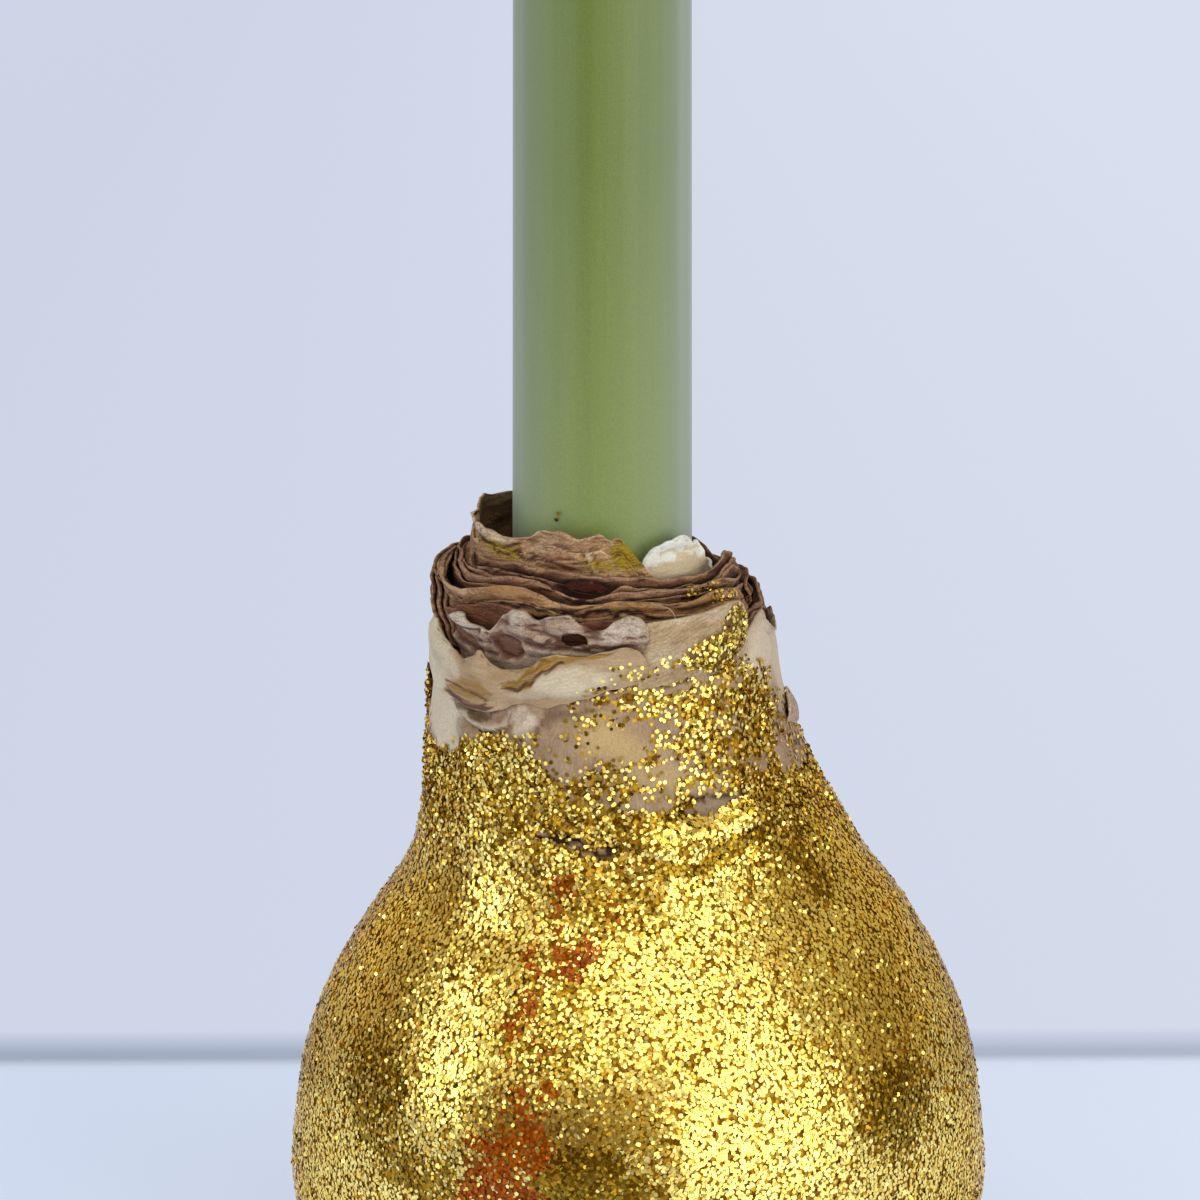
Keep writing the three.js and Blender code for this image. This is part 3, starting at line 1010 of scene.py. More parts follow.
    def mark(self, azimuth: Array, height: Array) -> None:
        """Store the sheet's painted shade, its stains, and its pale patches and painted highlights for its
        material.

        Args:
            azimuth: Azimuth of each vertex.
            height: Height of each vertex.
        """
        below = (1 - sheet_uv(self.piece)[:, 1]) ** 1.6 * (along(self.rim, azimuth) - self.foot(azimuth))
        hollow = hollows_of(self.piece)
        turn = np.radians(azimuth)
        normals = normals_of(self.piece)
        inwards = normals[:, 1] * np.cos(turn) - normals[:, 0] * np.sin(turn)
        deep = self.deep_below(azimuth)
        ragged = frayed(azimuth, height, self.fray)
        # Painted shade: in the marked creases, in the mesh's hollows, below the wall's rim, away from the
        # rim and on the inner face.
        shades = (
            strongest(self.shades, *ragged), 0.85 * ramp(hollow, 0.05, 0.5),
            0.85 * ramp(height, deep + 2, deep - 3), self.gloom * ramp(below, 0.3, self.dusk),
            self.inner_shade * ramp(inwards, 0.2, 0.7),
        )
        write_attribute(self.piece, "shade", np.clip(np.max(shades, axis=0), 0, 1))
        write_attribute(self.piece, "stain", np.clip(strongest(self.stains, *ragged), 0, 1))
        # Painted highlight: a pale band along the rim and on the ridges.
        worn = self.edge * np.maximum(ramp(below, 0.45, 0.1), 0.8 * ramp(-hollow, 0.15, 0.9))
        pale_and_highlight = np.maximum(strongest(self.pale_and_highlight_spots, *ragged), worn)
        write_attribute(self.piece, "pale_and_highlight", np.clip(pale_and_highlight, 0, 1))

    def deep_below(self, azimuth: Array) -> Array:
        """Return the height under which the sheet is hidden and painted in shade."""
        return wall_rim(azimuth) - 3

    def unroll(self, azimuth: Array, height: Array) -> None:
        """Rewrite the sheet's UV map in metres, so that its fibres keep their size.

        Args:
            azimuth: Azimuth of each place.
            height: Height of each place.
        """
        mesh = self.piece.data
        corners = np.empty(len(mesh.loops), np.int32)
        mesh.loops.foreach_get("vertex_index", corners)
        arc = np.radians(azimuth) * max(self.inner, NECK_RADIUS - 8) + 100 * self.seed
        turn = math.radians(self.grain)
        level = height - along(self.flow, azimuth)
        along_grain = arc * math.cos(turn) + level * math.sin(turn)
        over_grain = level * math.cos(turn) - arc * math.sin(turn)
        sheet = (np.column_stack([along_grain, over_grain]) * MM)[corners]
        mesh.uv_layers.active.data.foreach_set("uv", sheet.astype(np.float32).ravel())
        mesh.uv_layers.active.name = "UVMap"

    def dress(self, materials: dict[PaperKind, Material]) -> None:
        """Give the sheet its finish and hang it on the model."""
        self.piece.data.materials.append(materials[self.finish])
        finish_piece(self.piece, [self.node], 60)


@dataclass
class Wrap(Scale):
    """A scale that hugs the outside of the bulb's neck instead of standing in the socket.

    Attributes:
        lower: Height of its lower edge round the neck.
        lift: How far its lower edge stands off the skin round the neck.
        middle_gap: Distance from the skin to the middle of the sheet.
    """

    lower: Keys = ((0.0, SCALE_FOOT),)
    lift: Keys = ((0.0, 0.0), (1.0, 0.0))
    middle_gap: float = 0.42

    def radius(self, azimuth: Array, height: Array) -> Array:
        """Return the radius of the middle of the sheet, which follows the bulb's skin."""
        settle = (0.6 - along(self.lift, azimuth)) * ramp(height - self.foot(azimuth), 1.6, 0.0)
        skin = Bulb.radius(azimuth, height) - Bulb.inset
        return skin + self.middle_gap - settle + along(self.flare, height)

    def foot(self, azimuth: Array) -> Array:
        """Return the height of the sheet's lower edge."""
        return along(self.lower, azimuth)

    def middle(self, height: Array) -> Array:
        """Return the place along x of the axis that the sheet bends round."""
        return lean(height)

    def deep_below(self, azimuth: Array) -> Array:
        """Return a height below the sheet, since none of it is hidden."""
        return np.full(np.shape(azimuth), 80.0)


# Outline of the belly and shoulders, as (radius, height) points, and its ledges and dents.
BELLY: Keys = (
    (24.4, 3.2), (36.2, 9.6), (43.2, 20), (45.8, 30), (BULB_RADIUS, 37), (44.2, 50), (40.7, 60), (35, 70),
    (30.8, 76), (27.8, 82), (25, 90), (23.2, NECK_FOOT),
)
LEDGES = (
    Spot(29, 90, 5, 1.5, -0.8, 2), Spot(-14, 86.4, 4.6, 1, -0.8, 3), Spot(26, 87.3, 9.4, 2.2, 0.5, 3),
    Spot(40, 88.8, 2, 1.4, 0.4, 20),
)

# Where the coat is bare or thicker than its limits say.
BARE_PATCHES = (
    Spot(3, 98.8, 4.4, 2.6, 0.96), Spot(-14, 98.5, 2.8, 4.6, 0.93), Spot(14, 94.4, 3.6, 1.5, 0.85, -14),
    Spot(-19, 101.5, 3, 3.4, 0.95), Spot(31, 90, 4.2, 0.95, 1, 4, 0.2), Spot(24, 100.4, 1.8, 0.8, 0.6),
    Spot(-7, 85.6, 2.4, 0.45, 1, 0, 0.3), Spot(-19, 86.6, 2.8, 0.6, 1, 3, 0.3),
    Spot(25, 95.6, 2, 0.9, 0.6), Stroke(((8, 104.6), (18, 105.2), (34, 105.9), (46, 107), (56, 108.6)),
    ((6, 0), (16, 0.6), (34, 0.7), (50, 0.7), (58, 0)), 0.95, softness=0.5), Spot(30, 97.6, 1.6, 0.7, 0.5),
    Spot(40, 101.2, 1.4, 0.8, 0.5), Spot(-68, 99.5, 5.2, 4.6, 1, 0, 0.3),
)
GLITTER_CLUSTERS = (
    Spot(-5, 93.2, 4.6, 1.7, 0.7), Spot(0, 104.6, 3, 1.4, 0.45), Spot(40, 96, 3, 3.4, 0.55),
    Spot(13, 103.4, 4, 2.2, 0.55), Spot(-9, 99.2, 1.7, 1.5, 0.4), Spot(17, 98.8, 2.6, 1.4, 0.45),
    Spot(35, 101.8, 5, 3, 0.55), Spot(56, 99.5, 3.8, 5.6, 0.85), Spot(34, 93.2, 5.4, 1.8, 0.6),
    Spot(24, 87.6, 8.6, 0.9, 1, 2, 0.4), Spot(-102, 99.5, 5, 5, 0.8),
)

# Folds, cream and peach patches of the bulb's bare neck, and painted shade in its creases and under the
# flap.
NECK_FOLDS = (
    Stroke(((-60, 101), (-50, 99.6), (-42, 99.2), (-34, 100.2), (-29, 102.2)), ((-62, 0), (-56, 0.5),
    (-38, 0.6), (-30, 0.6), (-27, 0)), 0.75, softness=1.6), Stroke(((-56, 98.6), (-46, 97.7), (-38, 97.8),
    (-29, 99.6), (-24, 102.2)), ((-58, 0), (-52, 0.4), (-34, 0.5), (-25, 0.6), (-22, 0)), 0.6,
    softness=1.6), Spot(-24, 100.6, 1, 2, 0.45, -24, 1.2), Spot(2, 98.6, 4.2, 3, 0.45, 0, 1.4),
    Spot(-16, 100.6, 2.6, 1.4, -0.45, 8, 1.2),
)
CREAM_PATCHES = (
    Spot(-72, 103, 7.4, 7.6, 1, 0, 0.3), Spot(-64, 98, 4.4, 4.6, 1, 12, 0.25), Stroke(((-58, 100.8),
    (-46, 99.2), (-38, 99.2), (-30, 101.6)), ((-60, 0), (-52, 0.5), (-34, 0.5), (-28, 0)), 0.6),
    Spot(-27, 100.8, 1.3, 1.8, 0.75, -24, 0.6), Spot(66, 107, 5, 4.6, 0.8, 0, 0.8),
    Spot(86, 104, 5, 6, 0.7, 0, 0.8), Spot(31, 90, 3.2, 0.6, 0.3),
)
PEACH_PATCHES = (
    Spot(0, 99.4, 4.6, 2.6, 0.8, -14, 1.3), Spot(8, 97.4, 3.4, 2, 0.7, -10, 1.3),
    Spot(16, 94.4, 4.6, 1.6, 0.6, -14, 1.2), Spot(32, 104, 5, 1.6, 0.3, 0, 1.2),
)
SKIN_SHADES = (
    Stroke(((-60, 101.8), (-52, 100.6), (-44, 100.4), (-37, 101)), ((-62, 0), (-54, 0.4), (-44, 0.5),
    (-36, 0)), 0.7), Stroke(((-54, 99.6), (-46, 98.5), (-38, 98.5), (-31, 100.2)), ((-55, 0), (-48, 0.25),
    (-36, 0.25), (-30, 0)), 0.5), Stroke(((-22, 101.6), (-14, 101.8), (-4, 102.8)), ((-24, 0), (-18, 1.1),
    (-8, 0.5), (-2, 0)), 0.5, softness=1.4), Spot(-22, 100.4, 0.3, 1.8, 0.6, -24),
    Spot(-44, 97.4, 1.6, 0.3, 0.6), Spot(-55, 97.6, 1.4, 1.6, 0.4, 0, 1),
    Spot(30, 90.1, 3.6, 0.9, 0.3, 4, 0.3), Spot(31, 91, 3.8, 0.3, 0.8, 3, 0.6), Stroke(((8, 105.2),
    (18, 105.9), (34, 106.5), (46, 107.7), (54, 109.2)), ((6, 0), (16, 0.3), (34, 0.35), (48, 0.3),
    (56, 0)), 0.7, softness=0.8), Spot(41, 91, 0.7, 1.2, 0.97, 10, 0.5),
    Spot(-19, 86.6, 3.2, 0.8, 1, 3, 0.2), Spot(-7, 85.6, 2.6, 0.6, 1, 0, 0.2),
)

# Where the flakes of the belly and shoulders are painted orange-red, a painted reflection of something
# orange nearby, and where they are painted darker, a painted shade where the gold mirrors the dark room.
ORANGE_REFLECTION_PATCHES = (
    Spot(-22, 43, 3.4, 12.5, 1.3, -3, 0.5), Spot(-20, 58, 1.8, 4.4, 0.7, -6, 0.8),
    Spot(-23, 67, 1.6, 4.4, 0.56, 0, 1), Spot(-13, 73, 3, 1.7, 0.6, -20, 1),
    Spot(-21, 74, 2.4, 3.6, 0.54, 0, 1), Spot(-16, 80.5, 4.8, 2.8, 0.52, 10, 1),
    Spot(-6, 79, 2.4, 2, 0.5, 0, 1), Spot(-18, 28, 2.4, 7, 0.7, 0, 0.8),
)
SHADED_FLAKE_PATCHES = (
    Spot(-52, 53, 3.2, 8, 0.7, 20, 1), Spot(-41, 46.5, 5, 3.2, 0.75, -15, 0.9),
    Spot(-9, 47.6, 4.4, 5, 0.95, 0, 0.7), Spot(-9, 37, 5, 8, 0.6, 0, 1), Spot(50, 52, 4, 6, 0.8, -8, 0.9),
    Spot(52, 80, 2, 5, 0.75, -12, 0.8), Spot(-18, 67, 4, 9, 0.4, 0, 1), Spot(-6, 78.5, 6, 3.4, 0.5, 0, 1),
    Stroke(((2, 84.2), (18, 84.9), (32, 85.4), (46, 86.4)), ((0, 0), (14, 0.9), (40, 1), (52, 0)), 0.9,
    softness=0.8),
)


@dataclass
class Bulb:
    """The bulb's body: belly, shoulders and neck, with the socket in its top.

    Attributes:
        steps: Sides round the body.
        belly_rings: Rings from the foot of the belly to the shoulder.
        neck_rings: Rings on the neck below its wall.
        inset: How far the skin lies inside the model's, to leave room for the flakes.
        shoulder: Height where the finer rings of the neck begin.
    """

    steps: int = 330
    belly_rings: int = 96
    neck_rings: int = 34
    inset: float = 0.35
    shoulder: float = 82.0
    piece: Thing | None = field(default=None, init=False)

    def outline(self) -> list[tuple[float, float]]:
        """Trace the outline from the resting spot over the skin to the socket's floor.

        Returns:
            The outline as (radius, height) points.
        """
        inside = NECK_RADIUS - NECK_WALL
        levels = np.linspace(NECK_FOOT, NECK_RIM - 0.6, 20)[1:]
        neck = [(NECK_RADIUS + 1.1 * (1 - ramp(level, 97, 103.4)), level) for level in levels]
        rim = [(NECK_RADIUS - 0.08, NECK_RIM - 0.3), (NECK_RADIUS - 0.3, NECK_RIM - 0.05),
               (NECK_RADIUS - NECK_WALL / 2, NECK_RIM), (inside + 0.1, NECK_RIM - 0.3)]
        well = [(inside, 103.5), (inside, 101), (inside, 98.5), (inside, SOCKET_FLOOR), (11, SOCKET_FLOOR),
                (0, SOCKET_FLOOR)]
        foot = [(0, 0), (9, 0), (RESTING_RADIUS, 0), (18.5, 0.25), (20, 0.7), (21, 1.5), (21.8, 2.4)]
        curve = rounded(BELLY, 600)
        belly = [point for point in curve if point[1] < self.shoulder]
        shoulder = [point for point in curve if point[1] >= self.shoulder]
        return foot + self.thinned(belly, self.belly_rings) + self.thinned(shoulder, self.neck_rings) + \
            neck + rim + well

    @staticmethod
    def thinned(points: Sequence[tuple[float, float]], count: int) -> list[tuple[float, float]]:
        """Return some of the points, spread evenly from the first to the last."""
        return [points[index] for index in np.linspace(0, len(points) - 1, count).astype(int)]

    @staticmethod
    def radius(azimuth: Array, height: Array) -> Array:
        """Return the radius of the skin above the belly.

        Args:
            azimuth: Azimuth of each place.
            height: Height of each place.

        Returns:
            The radius.
        """
        neck = [(NECK_RADIUS + 1.1 * (1 - ramp(level, 97, 103.4)), level) for level in range(99, 104)]
        curve = np.array(rounded(BELLY, 190) + neck + [(NECK_RADIUS, 130)])
        stretch = (NECK_RIM - NECK_FOOT) / (wall_rim(azimuth) - NECK_FOOT)
        level = np.where(height > NECK_FOOT, NECK_FOOT + (height - NECK_FOOT) * stretch, height)
        return np.interp(level, curve[:, 1], curve[:, 0]) + skin_swell(azimuth, height)

    @staticmethod
    def coat(azimuth: Array, height: Array) -> Array:
        """Return how closely the glitter covers the skin, from 0 to 1.

        Args:
            azimuth: Azimuth of each place.
            height: Height of each place.

        Returns:
            The cover at each place.
        """
        line = along(COAT_LINE, azimuth)
        closed = ramp(height, line + 0.9, line - 1.4)
        ring = np.column_stack([np.radians(azimuth) * 23, height, np.zeros(len(height))])
        clumps = Cloud(51, (2.6, 2.6, 2.6)).turbulent(ring, 2)
        scatter = ramp(height, along(SCATTER_LINE, azimuth) + 1.2, along(SCATTER_LINE, azimuth) - 0.8)
        loose = scatter * along(
            ((-180, 0.1), (-60, 0.1), (-16, 0.2), (-8, 0.34), (8, 0.36), (16, 0.5), (30, 0.62), (52, 0.62),
             (62, 0.3), (80, 0.14), (180, 0.1)), azimuth)
        loose = loose * np.clip(1 + 1.1 * clumps, 0.15, 2)
        ragged = frayed(azimuth, height, 0.5, 2.2)
        bare = strongest(BARE_PATCHES, *ragged)
        full = np.maximum(closed, np.clip(loose, 0, 0.85)) * (1 - bare)
        return np.clip(np.maximum(full, strongest(GLITTER_CLUSTERS, *ragged)), 0, 1)

    def build(self) -> None:
        """Spin the body and move it into its swollen, leaning, torn and lumpy shape."""
        self.piece = spun("bulb_body", self.outline(), self.steps)
        places = places_of(self.piece)
        radius = np.hypot(places[:, 0], places[:, 1])
        height = places[:, 2].copy()
        turn = np.arctan2(places[:, 0], -places[:, 1])
        azimuth = np.degrees(turn)
        resting = (height < 0.001) & (radius < RESTING_RADIUS + 0.01)
        skin = ~resting & ((radius > NECK_RADIUS - NECK_WALL / 4) | (height < SOCKET_FLOOR - 1))
        unit = np.column_stack([radius * np.sin(turn), -radius * np.cos(turn), height])
        body = ramp(height, 2, 10)
        rugged = ramp(height, 74, 90)
        relief = (0.05 + 0.1 * rugged) * Cloud(3, (5.5, 5.5, 5.5)).turbulent(unit, 2) - 0.1
        relief += (0.015 + 0.08 * rugged) * Cloud(5, (1.5, 1.5, 1.5)).at(unit) * ramp(height, 97, 91)
        ridges = 0.6 * Cloud(8, (1.6, 1.6, 22.0)).at(unit) * ramp(height, 84, 96)
        swell = skin_swell(azimuth, height) + body * relief + 0.1 * ridges
        swell += summed(LEDGES, azimuth, height) + summed(NECK_FOLDS, azimuth, height)
        thin = 0.4 * ramp(height, NECK_RIM - 2, NECK_RIM)
        wide = radius + np.where(skin, swell - self.inset * body - thin, 0)
        oval = blend(DEPTH_SHARE, 1, np.maximum(ramp(height, 60, 90), ramp(height, 8, 0)))
        stretch = np.maximum(0, height - NECK_FOOT) / (NECK_RIM - NECK_FOOT)
        ring = np.column_stack([np.cos(turn), np.sin(turn), np.zeros(len(turn))]) * 22
        teeth = 0.3 * Cloud(15, (1.2, 1.2, 1.2)).turbulent(ring, 2) * ramp(height, 103, 105)
        tall = wall_rim(azimuth) - NECK_FOOT + teeth
        raised = np.where(stretch > 0, NECK_FOOT + stretch * tall, height)
        put_places(self.piece, np.column_stack(
            [wide * np.sin(turn) + lean(height), -wide * np.cos(turn) * oval, raised]))
        self.mark(azimuth, raised, radius, skin)

    def mark(self, azimuth: Array, height: Array, radius: Array, skin: Array) -> None:
        """Store the masks of the coat, the painted orange reflection, the bare skin's colours and its
        painted shade.

        Args:
            azimuth: Azimuth of each place.
            height: Height of each place.
            radius: Radius of each place.
            skin: Whether it lies on the outer skin.
        """
        inside = ~skin & (height > SOCKET_FLOOR - 1)
        coat = np.where(inside, 0, self.coat(azimuth, height)) * ramp(height, 0.4, 3)
        write_attribute(self.piece, "coat", coat)
        ring = np.column_stack([np.radians(azimuth) * 40, height, np.zeros(len(height))])
        patch = strongest(ORANGE_REFLECTION_PATCHES, *frayed(azimuth, height, 0.9, 4.0))
        ragged = 1 + 0.7 * Cloud(61, (2.2, 2.2, 2.2)).turbulent(ring, 2)
        write_attribute(self.piece, "orange_reflection", ramp(patch * ragged, 0.25, 0.85))
        worn = frayed(azimuth, height)
        write_attribute(self.piece, "cream", strongest(CREAM_PATCHES, *worn))
        write_attribute(self.piece, "peach", strongest(PEACH_PATCHES, *worn))
        # Painted shade inside the socket, deeper below the wall's rim, and in the neck's creases.
        sunk = 0.95 * ramp(wall_rim(azimuth) - height, 0.6, 3.0)
        shade = np.maximum(strongest(SKIN_SHADES, *worn), np.where(inside, sunk, 0))
        write_attribute(self.piece, "shade", np.clip(shade, 0, 1))

    def dress(self) -> None:
        """Give the body its skin and gold, and hang it on the model."""
        self.piece.data.materials.append(skin_material())
        finish_piece(self.piece, ["bulb"], 70)


def skin_material() -> Material:
    """Build the finish of the bulb's skin and of the glued gold under the loose flakes.

    Returns:
        The material.
    """
    made, graph, shader = new_material("glitter_coated_skin")
    spot = graph.add("TexCoord").outputs["Object"]
    upright = graph.vector("MULTIPLY", spot, (1.0, 1.0, 0.09))
    fibre = graph.stretch(graph.noise(upright, 3600.0, 3), 0.36, 0.66)
    blotch = graph.stretch(graph.noise(spot, 260.0, 4), 0.36, 0.64)
    skin = graph.mix(srgb(160, 132, 104), srgb(176, 150, 118), fibre)
    skin = graph.mix(skin, srgb(138, 108, 88), graph.math("MULTIPLY", blotch, 0.7))
    skin = graph.mix(skin, srgb(212, 196, 170), graph.number("cream"))
    skin = graph.mix(skin, srgb(198, 168, 114), graph.number("peach"))
    grain = graph.stretch(graph.noise(spot, 3600.0, 3, 0.7), 0.36, 0.64, 0.8, 1.14)
    skin = graph.mix(skin, grain, 0.8, "MULTIPLY")
    cells = graph.add("TexVoronoi", {"Vector": spot, "Scale": 1500.0, "Randomness": 1.0})
    flake = graph.add("SeparateColor", {0: cells.outputs["Color"]})
    gold = graph.mix(srgb(108, 68, 8), srgb(206, 160, 42), graph.math("POWER", flake.outputs[0], 1.8))
    # Painted reflection: the glued gold turns orange-red, and less metallic, where it mirrors something
    # orange.
    gold = graph.mix(gold, srgb(134, 58, 2), graph.math("MULTIPLY", graph.number("orange_reflection"), 0.9))
    edge = graph.stretch(flake.outputs[2], 0.15, 0.85, 0.25, -0.25)
    coat = graph.stretch(graph.math("ADD", graph.number("coat"), edge), 0.5, 0.56)
    colour = graph.mix(skin, gold, coat)
    # Painted shade in the neck's creases and inside the socket.
    colour = graph.mix(colour, srgb(44, 20, 8), graph.number("shade"))
    worn = graph.math("MULTIPLY", graph.number("orange_reflection"), 0.4)
    metal = graph.math("MULTIPLY", coat, graph.math("SUBTRACT", 0.88, worn))
    tilt = graph.vector("SUBTRACT", cells.outputs["Color"], (0.5, 0.5, 0.5))
    strength = graph.math("MULTIPLY", coat, 0.45)
    push = graph.add("VectorMath", {0: tilt, "Scale": strength}, operation="SCALE").outputs[0]
    relief = graph.bump(graph.math("ADD", fibre, graph.noise(spot, 900.0, 3)), 0.1 * MM, 0.5)
    graph.dress(shader, {
        "Base Color": colour, "Metallic": metal, "Roughness": graph.mix((0.62,) * 3, (0.34,) * 3, coat),
        "Normal": graph.vector("NORMALIZE", graph.vector("ADD", relief, push)),
        "Specular IOR Level": 0.3, "Specular Tint": (0.9, 0.7, 0.4)})
    return made


def flake_material() -> Material:
    """Build the finish of the loose gold flakes, whose tone changes from flake to flake.

    Returns:
        The material.
    """
    made, graph, shader = new_material("gold_flakes")
    tone = graph.number("tone")
    colour = graph.mix(srgb(232, 200, 84), srgb(250, 236, 142), tone)
    # Darkened flakes: painted shade in the zones where the gold mirrors the dark room, and a random share
    # elsewhere.
    colour = graph.mix(colour, graph.mix(srgb(112, 86, 8), srgb(176, 144, 30), tone), graph.number("darkened"))
    # Painted reflection: orange-red flakes where the gold mirrors something orange; they are also rougher.
    colour = graph.mix(colour, graph.mix(srgb(140, 60, 2), srgb(196, 104, 10), tone), graph.number("reflects_orange"))
    worn = graph.stretch(graph.number("reflects_orange"), 0, 1, 0, 0.3)
    graph.dress(shader, {
        "Base Color": colour, "Metallic": 1.0,
        "Roughness": graph.math("ADD", graph.stretch(tone, 0, 1, 0.26, 0.16), worn),
        "Specular Tint": (0.9, 0.76, 0.42), "Coat Weight": 0.25, "Coat Roughness": 0.12, "Coat IOR": 1.5})
    return made


@dataclass
class Flakes:
    """Loose glitter flakes that lie on a surface, each turned its own way.

    Attributes:
        name: Name of the piece.
        seed: Number that fixes their places and turns.
        size: Smallest and largest radius of a flake.
        lie: Usual tilt of a flake off the surface, in degrees.
        wild: Share of flakes that stand far off the surface.
        wilder: How many times more than usual those are tilted.
        steepest: Greatest tilt, in degrees.
        raised: Share of a tilted flake's rise that its middle is lifted by.
        sides: Corners of a flake.
    """

    name: str
    seed: int
    size: tuple[float, float] = (0.235, 0.315)
    lie: float = 4.0
    wild: float = 0.2
    wilder: float = 4.5
    steepest: float = 75.0
    raised: float = 0.35
    sides: int = 5
    piece: Thing | None = field(default=None, init=False)

    def flake(self) -> tuple[Array, Array]:
        """Model one flake.

        Returns:
            The places of its corners, and its triangles.
        """
        select_none()
        bpy.ops.mesh.primitive_circle_add(vertices=self.sides, radius=1, fill_type="NGON")
        first = bpy.context.active_object
        in_edit_mode(first)
        bpy.ops.mesh.quads_convert_to_tris(ngon_method="CLIP")
        bpy.ops.object.mode_set(mode="OBJECT")
        places = places_of(first)
        corners = np.array([list(face.vertices) for face in first.data.polygons])
        bpy.data.objects.remove(first)
        return places, corners

    def build(self, places: Array, normals: Array, reflects_orange: Array | float = 0.0, loose: Array | float = 1.0,
              darkened: Array | float = 0.0, lift: tuple[float, float] = (0.02, 0.26)) -> None:
        """Copy the flake to each place on the surface.

        Args:
            places: Where the flakes lie, in millimetres.
            normals: The surface's direction at each place.
            reflects_orange: Chance at each place of an orange-red flake, a painted reflection.
            loose: How much more than usual the flakes are tilted at each place.
            darkened: Chance of a darkened flake at each place.
            lift: Least and greatest height of a flake's middle over the surface.
        """
        random = np.random.default_rng(self.seed)
        count = len(places)
        shape, triangles = self.flake()
        upright = np.abs(normals[:, 2:3]) > 0.9
        side = np.where(upright, np.array([1.0, 0, 0]), np.array([0, 0, 1.0]))
        across = np.cross(side, normals)
        across /= np.linalg.norm(across, axis=1, keepdims=True)
        along_skin = np.cross(normals, across)
        wild = random.random(count) < self.wild
        lean_angle = np.abs(random.normal(0, np.where(wild, self.wilder * self.lie, self.lie))) * loose
        lean_angle = np.radians(np.minimum(lean_angle, self.steepest))
        direction = random.uniform(0, 2 * np.pi, count)
        sideways = np.cos(direction)[:, None] * across + np.sin(direction)[:, None] * along_skin
        axis = np.cos(lean_angle)[:, None] * normals + np.sin(lean_angle)[:, None] * sideways
        first = np.cross(axis, sideways)
        first /= np.linalg.norm(first, axis=1, keepdims=True)
        second = np.cross(axis, first)
        spin = random.uniform(0, 2 * np.pi, count)
        radius = random.uniform(*self.size, count)
        height = random.uniform(*lift, count) + self.raised * radius * np.sin(lean_angle)
        middle = places + normals * height[:, None]
        turned_x = shape[:, 0] * np.cos(spin)[:, None] - shape[:, 1] * np.sin(spin)[:, None]
        turned_y = shape[:, 0] * np.sin(spin)[:, None] + shape[:, 1] * np.cos(spin)[:, None]
        spread = turned_x[:, :, None] * first[:, None, :] + turned_y[:, :, None] * second[:, None, :]
        corners = middle[:, None, :] + radius[:, None, None] * spread
        corners[:, :, 2] = np.maximum(corners[:, :, 2], 0.02)
        faces = triangles[None] + (np.arange(count) * len(shape))[:, None, None]
        finish = {"tone": random.random(count)}
        finish["reflects_orange"] = random.random(count) < reflects_orange
        finish["darkened"] = random.random(count) < darkened
        mesh = bpy.data.meshes.new(self.name)
        mesh.from_pydata(corners.reshape(-1, 3).tolist(), [], faces.reshape(-1, 3).tolist())
        self.piece = bpy.data.objects.new(self.name, mesh)
        bpy.context.scene.collection.objects.link(self.piece)
        for name, values in finish.items():
            write_attribute(self.piece, name, np.repeat(values, len(shape)))

    def dress(self, material: Material) -> None:
        """Give the flakes their gold and hang them on the model."""
        self.piece.data.materials.append(material)
        finish_piece(self.piece, [], 0)


def scattered(thing: Thing, density: Array, per_area: float, seed: int,
              carried: Array | None = None) -> tuple[Array, Array, Array]:
    """Pick random places on a mesh.

    Args:
        thing: The mesh, in millimetres.
        density: Relative density at each vertex, from 0 to 1.
        per_area: Places for each square millimetre where the density is 1.
        seed: Number that fixes the draw.
        carried: A number at each vertex that is read at the places.

    Returns:
        The places, the surface's normals there and the number read there.
    """
    random = np.random.default_rng(seed)
    mesh = thing.data
    mesh.calc_loop_triangles()
    triangles = np.empty(len(mesh.loop_triangles) * 3, np.int32)
    mesh.loop_triangles.foreach_get("vertices", triangles)
    triangles = triangles.reshape(-1, 3)
    places = places_of(thing)
    normals = normals_of(thing)
    first, second, third = (places[triangles[:, corner]] for corner in range(3))
    area = np.linalg.norm(np.cross(second - first, third - first), axis=1) / 2
    wanted = area * density[triangles].mean(axis=1) * per_area
    total = int(round(wanted.sum()))
    chosen = random.choice(len(triangles), total, p=wanted / wanted.sum())
    one, two = random.random((2, total))
    flip = one + two > 1
    one, two = np.where(flip, 1 - one, one), np.where(flip, 1 - two, two)
    shares = np.column_stack([1 - one - two, one, two])[:, :, None]
    spots = (places[triangles[chosen]] * shares).sum(axis=1)
    directions = (normals[triangles[chosen]] * shares).sum(axis=1)
    directions /= np.linalg.norm(directions, axis=1, keepdims=True)
    values = np.zeros(len(places)) if carried is None else carried
    return spots, directions, (values[triangles[chosen]] * shares[:, :, 0]).sum(axis=1)


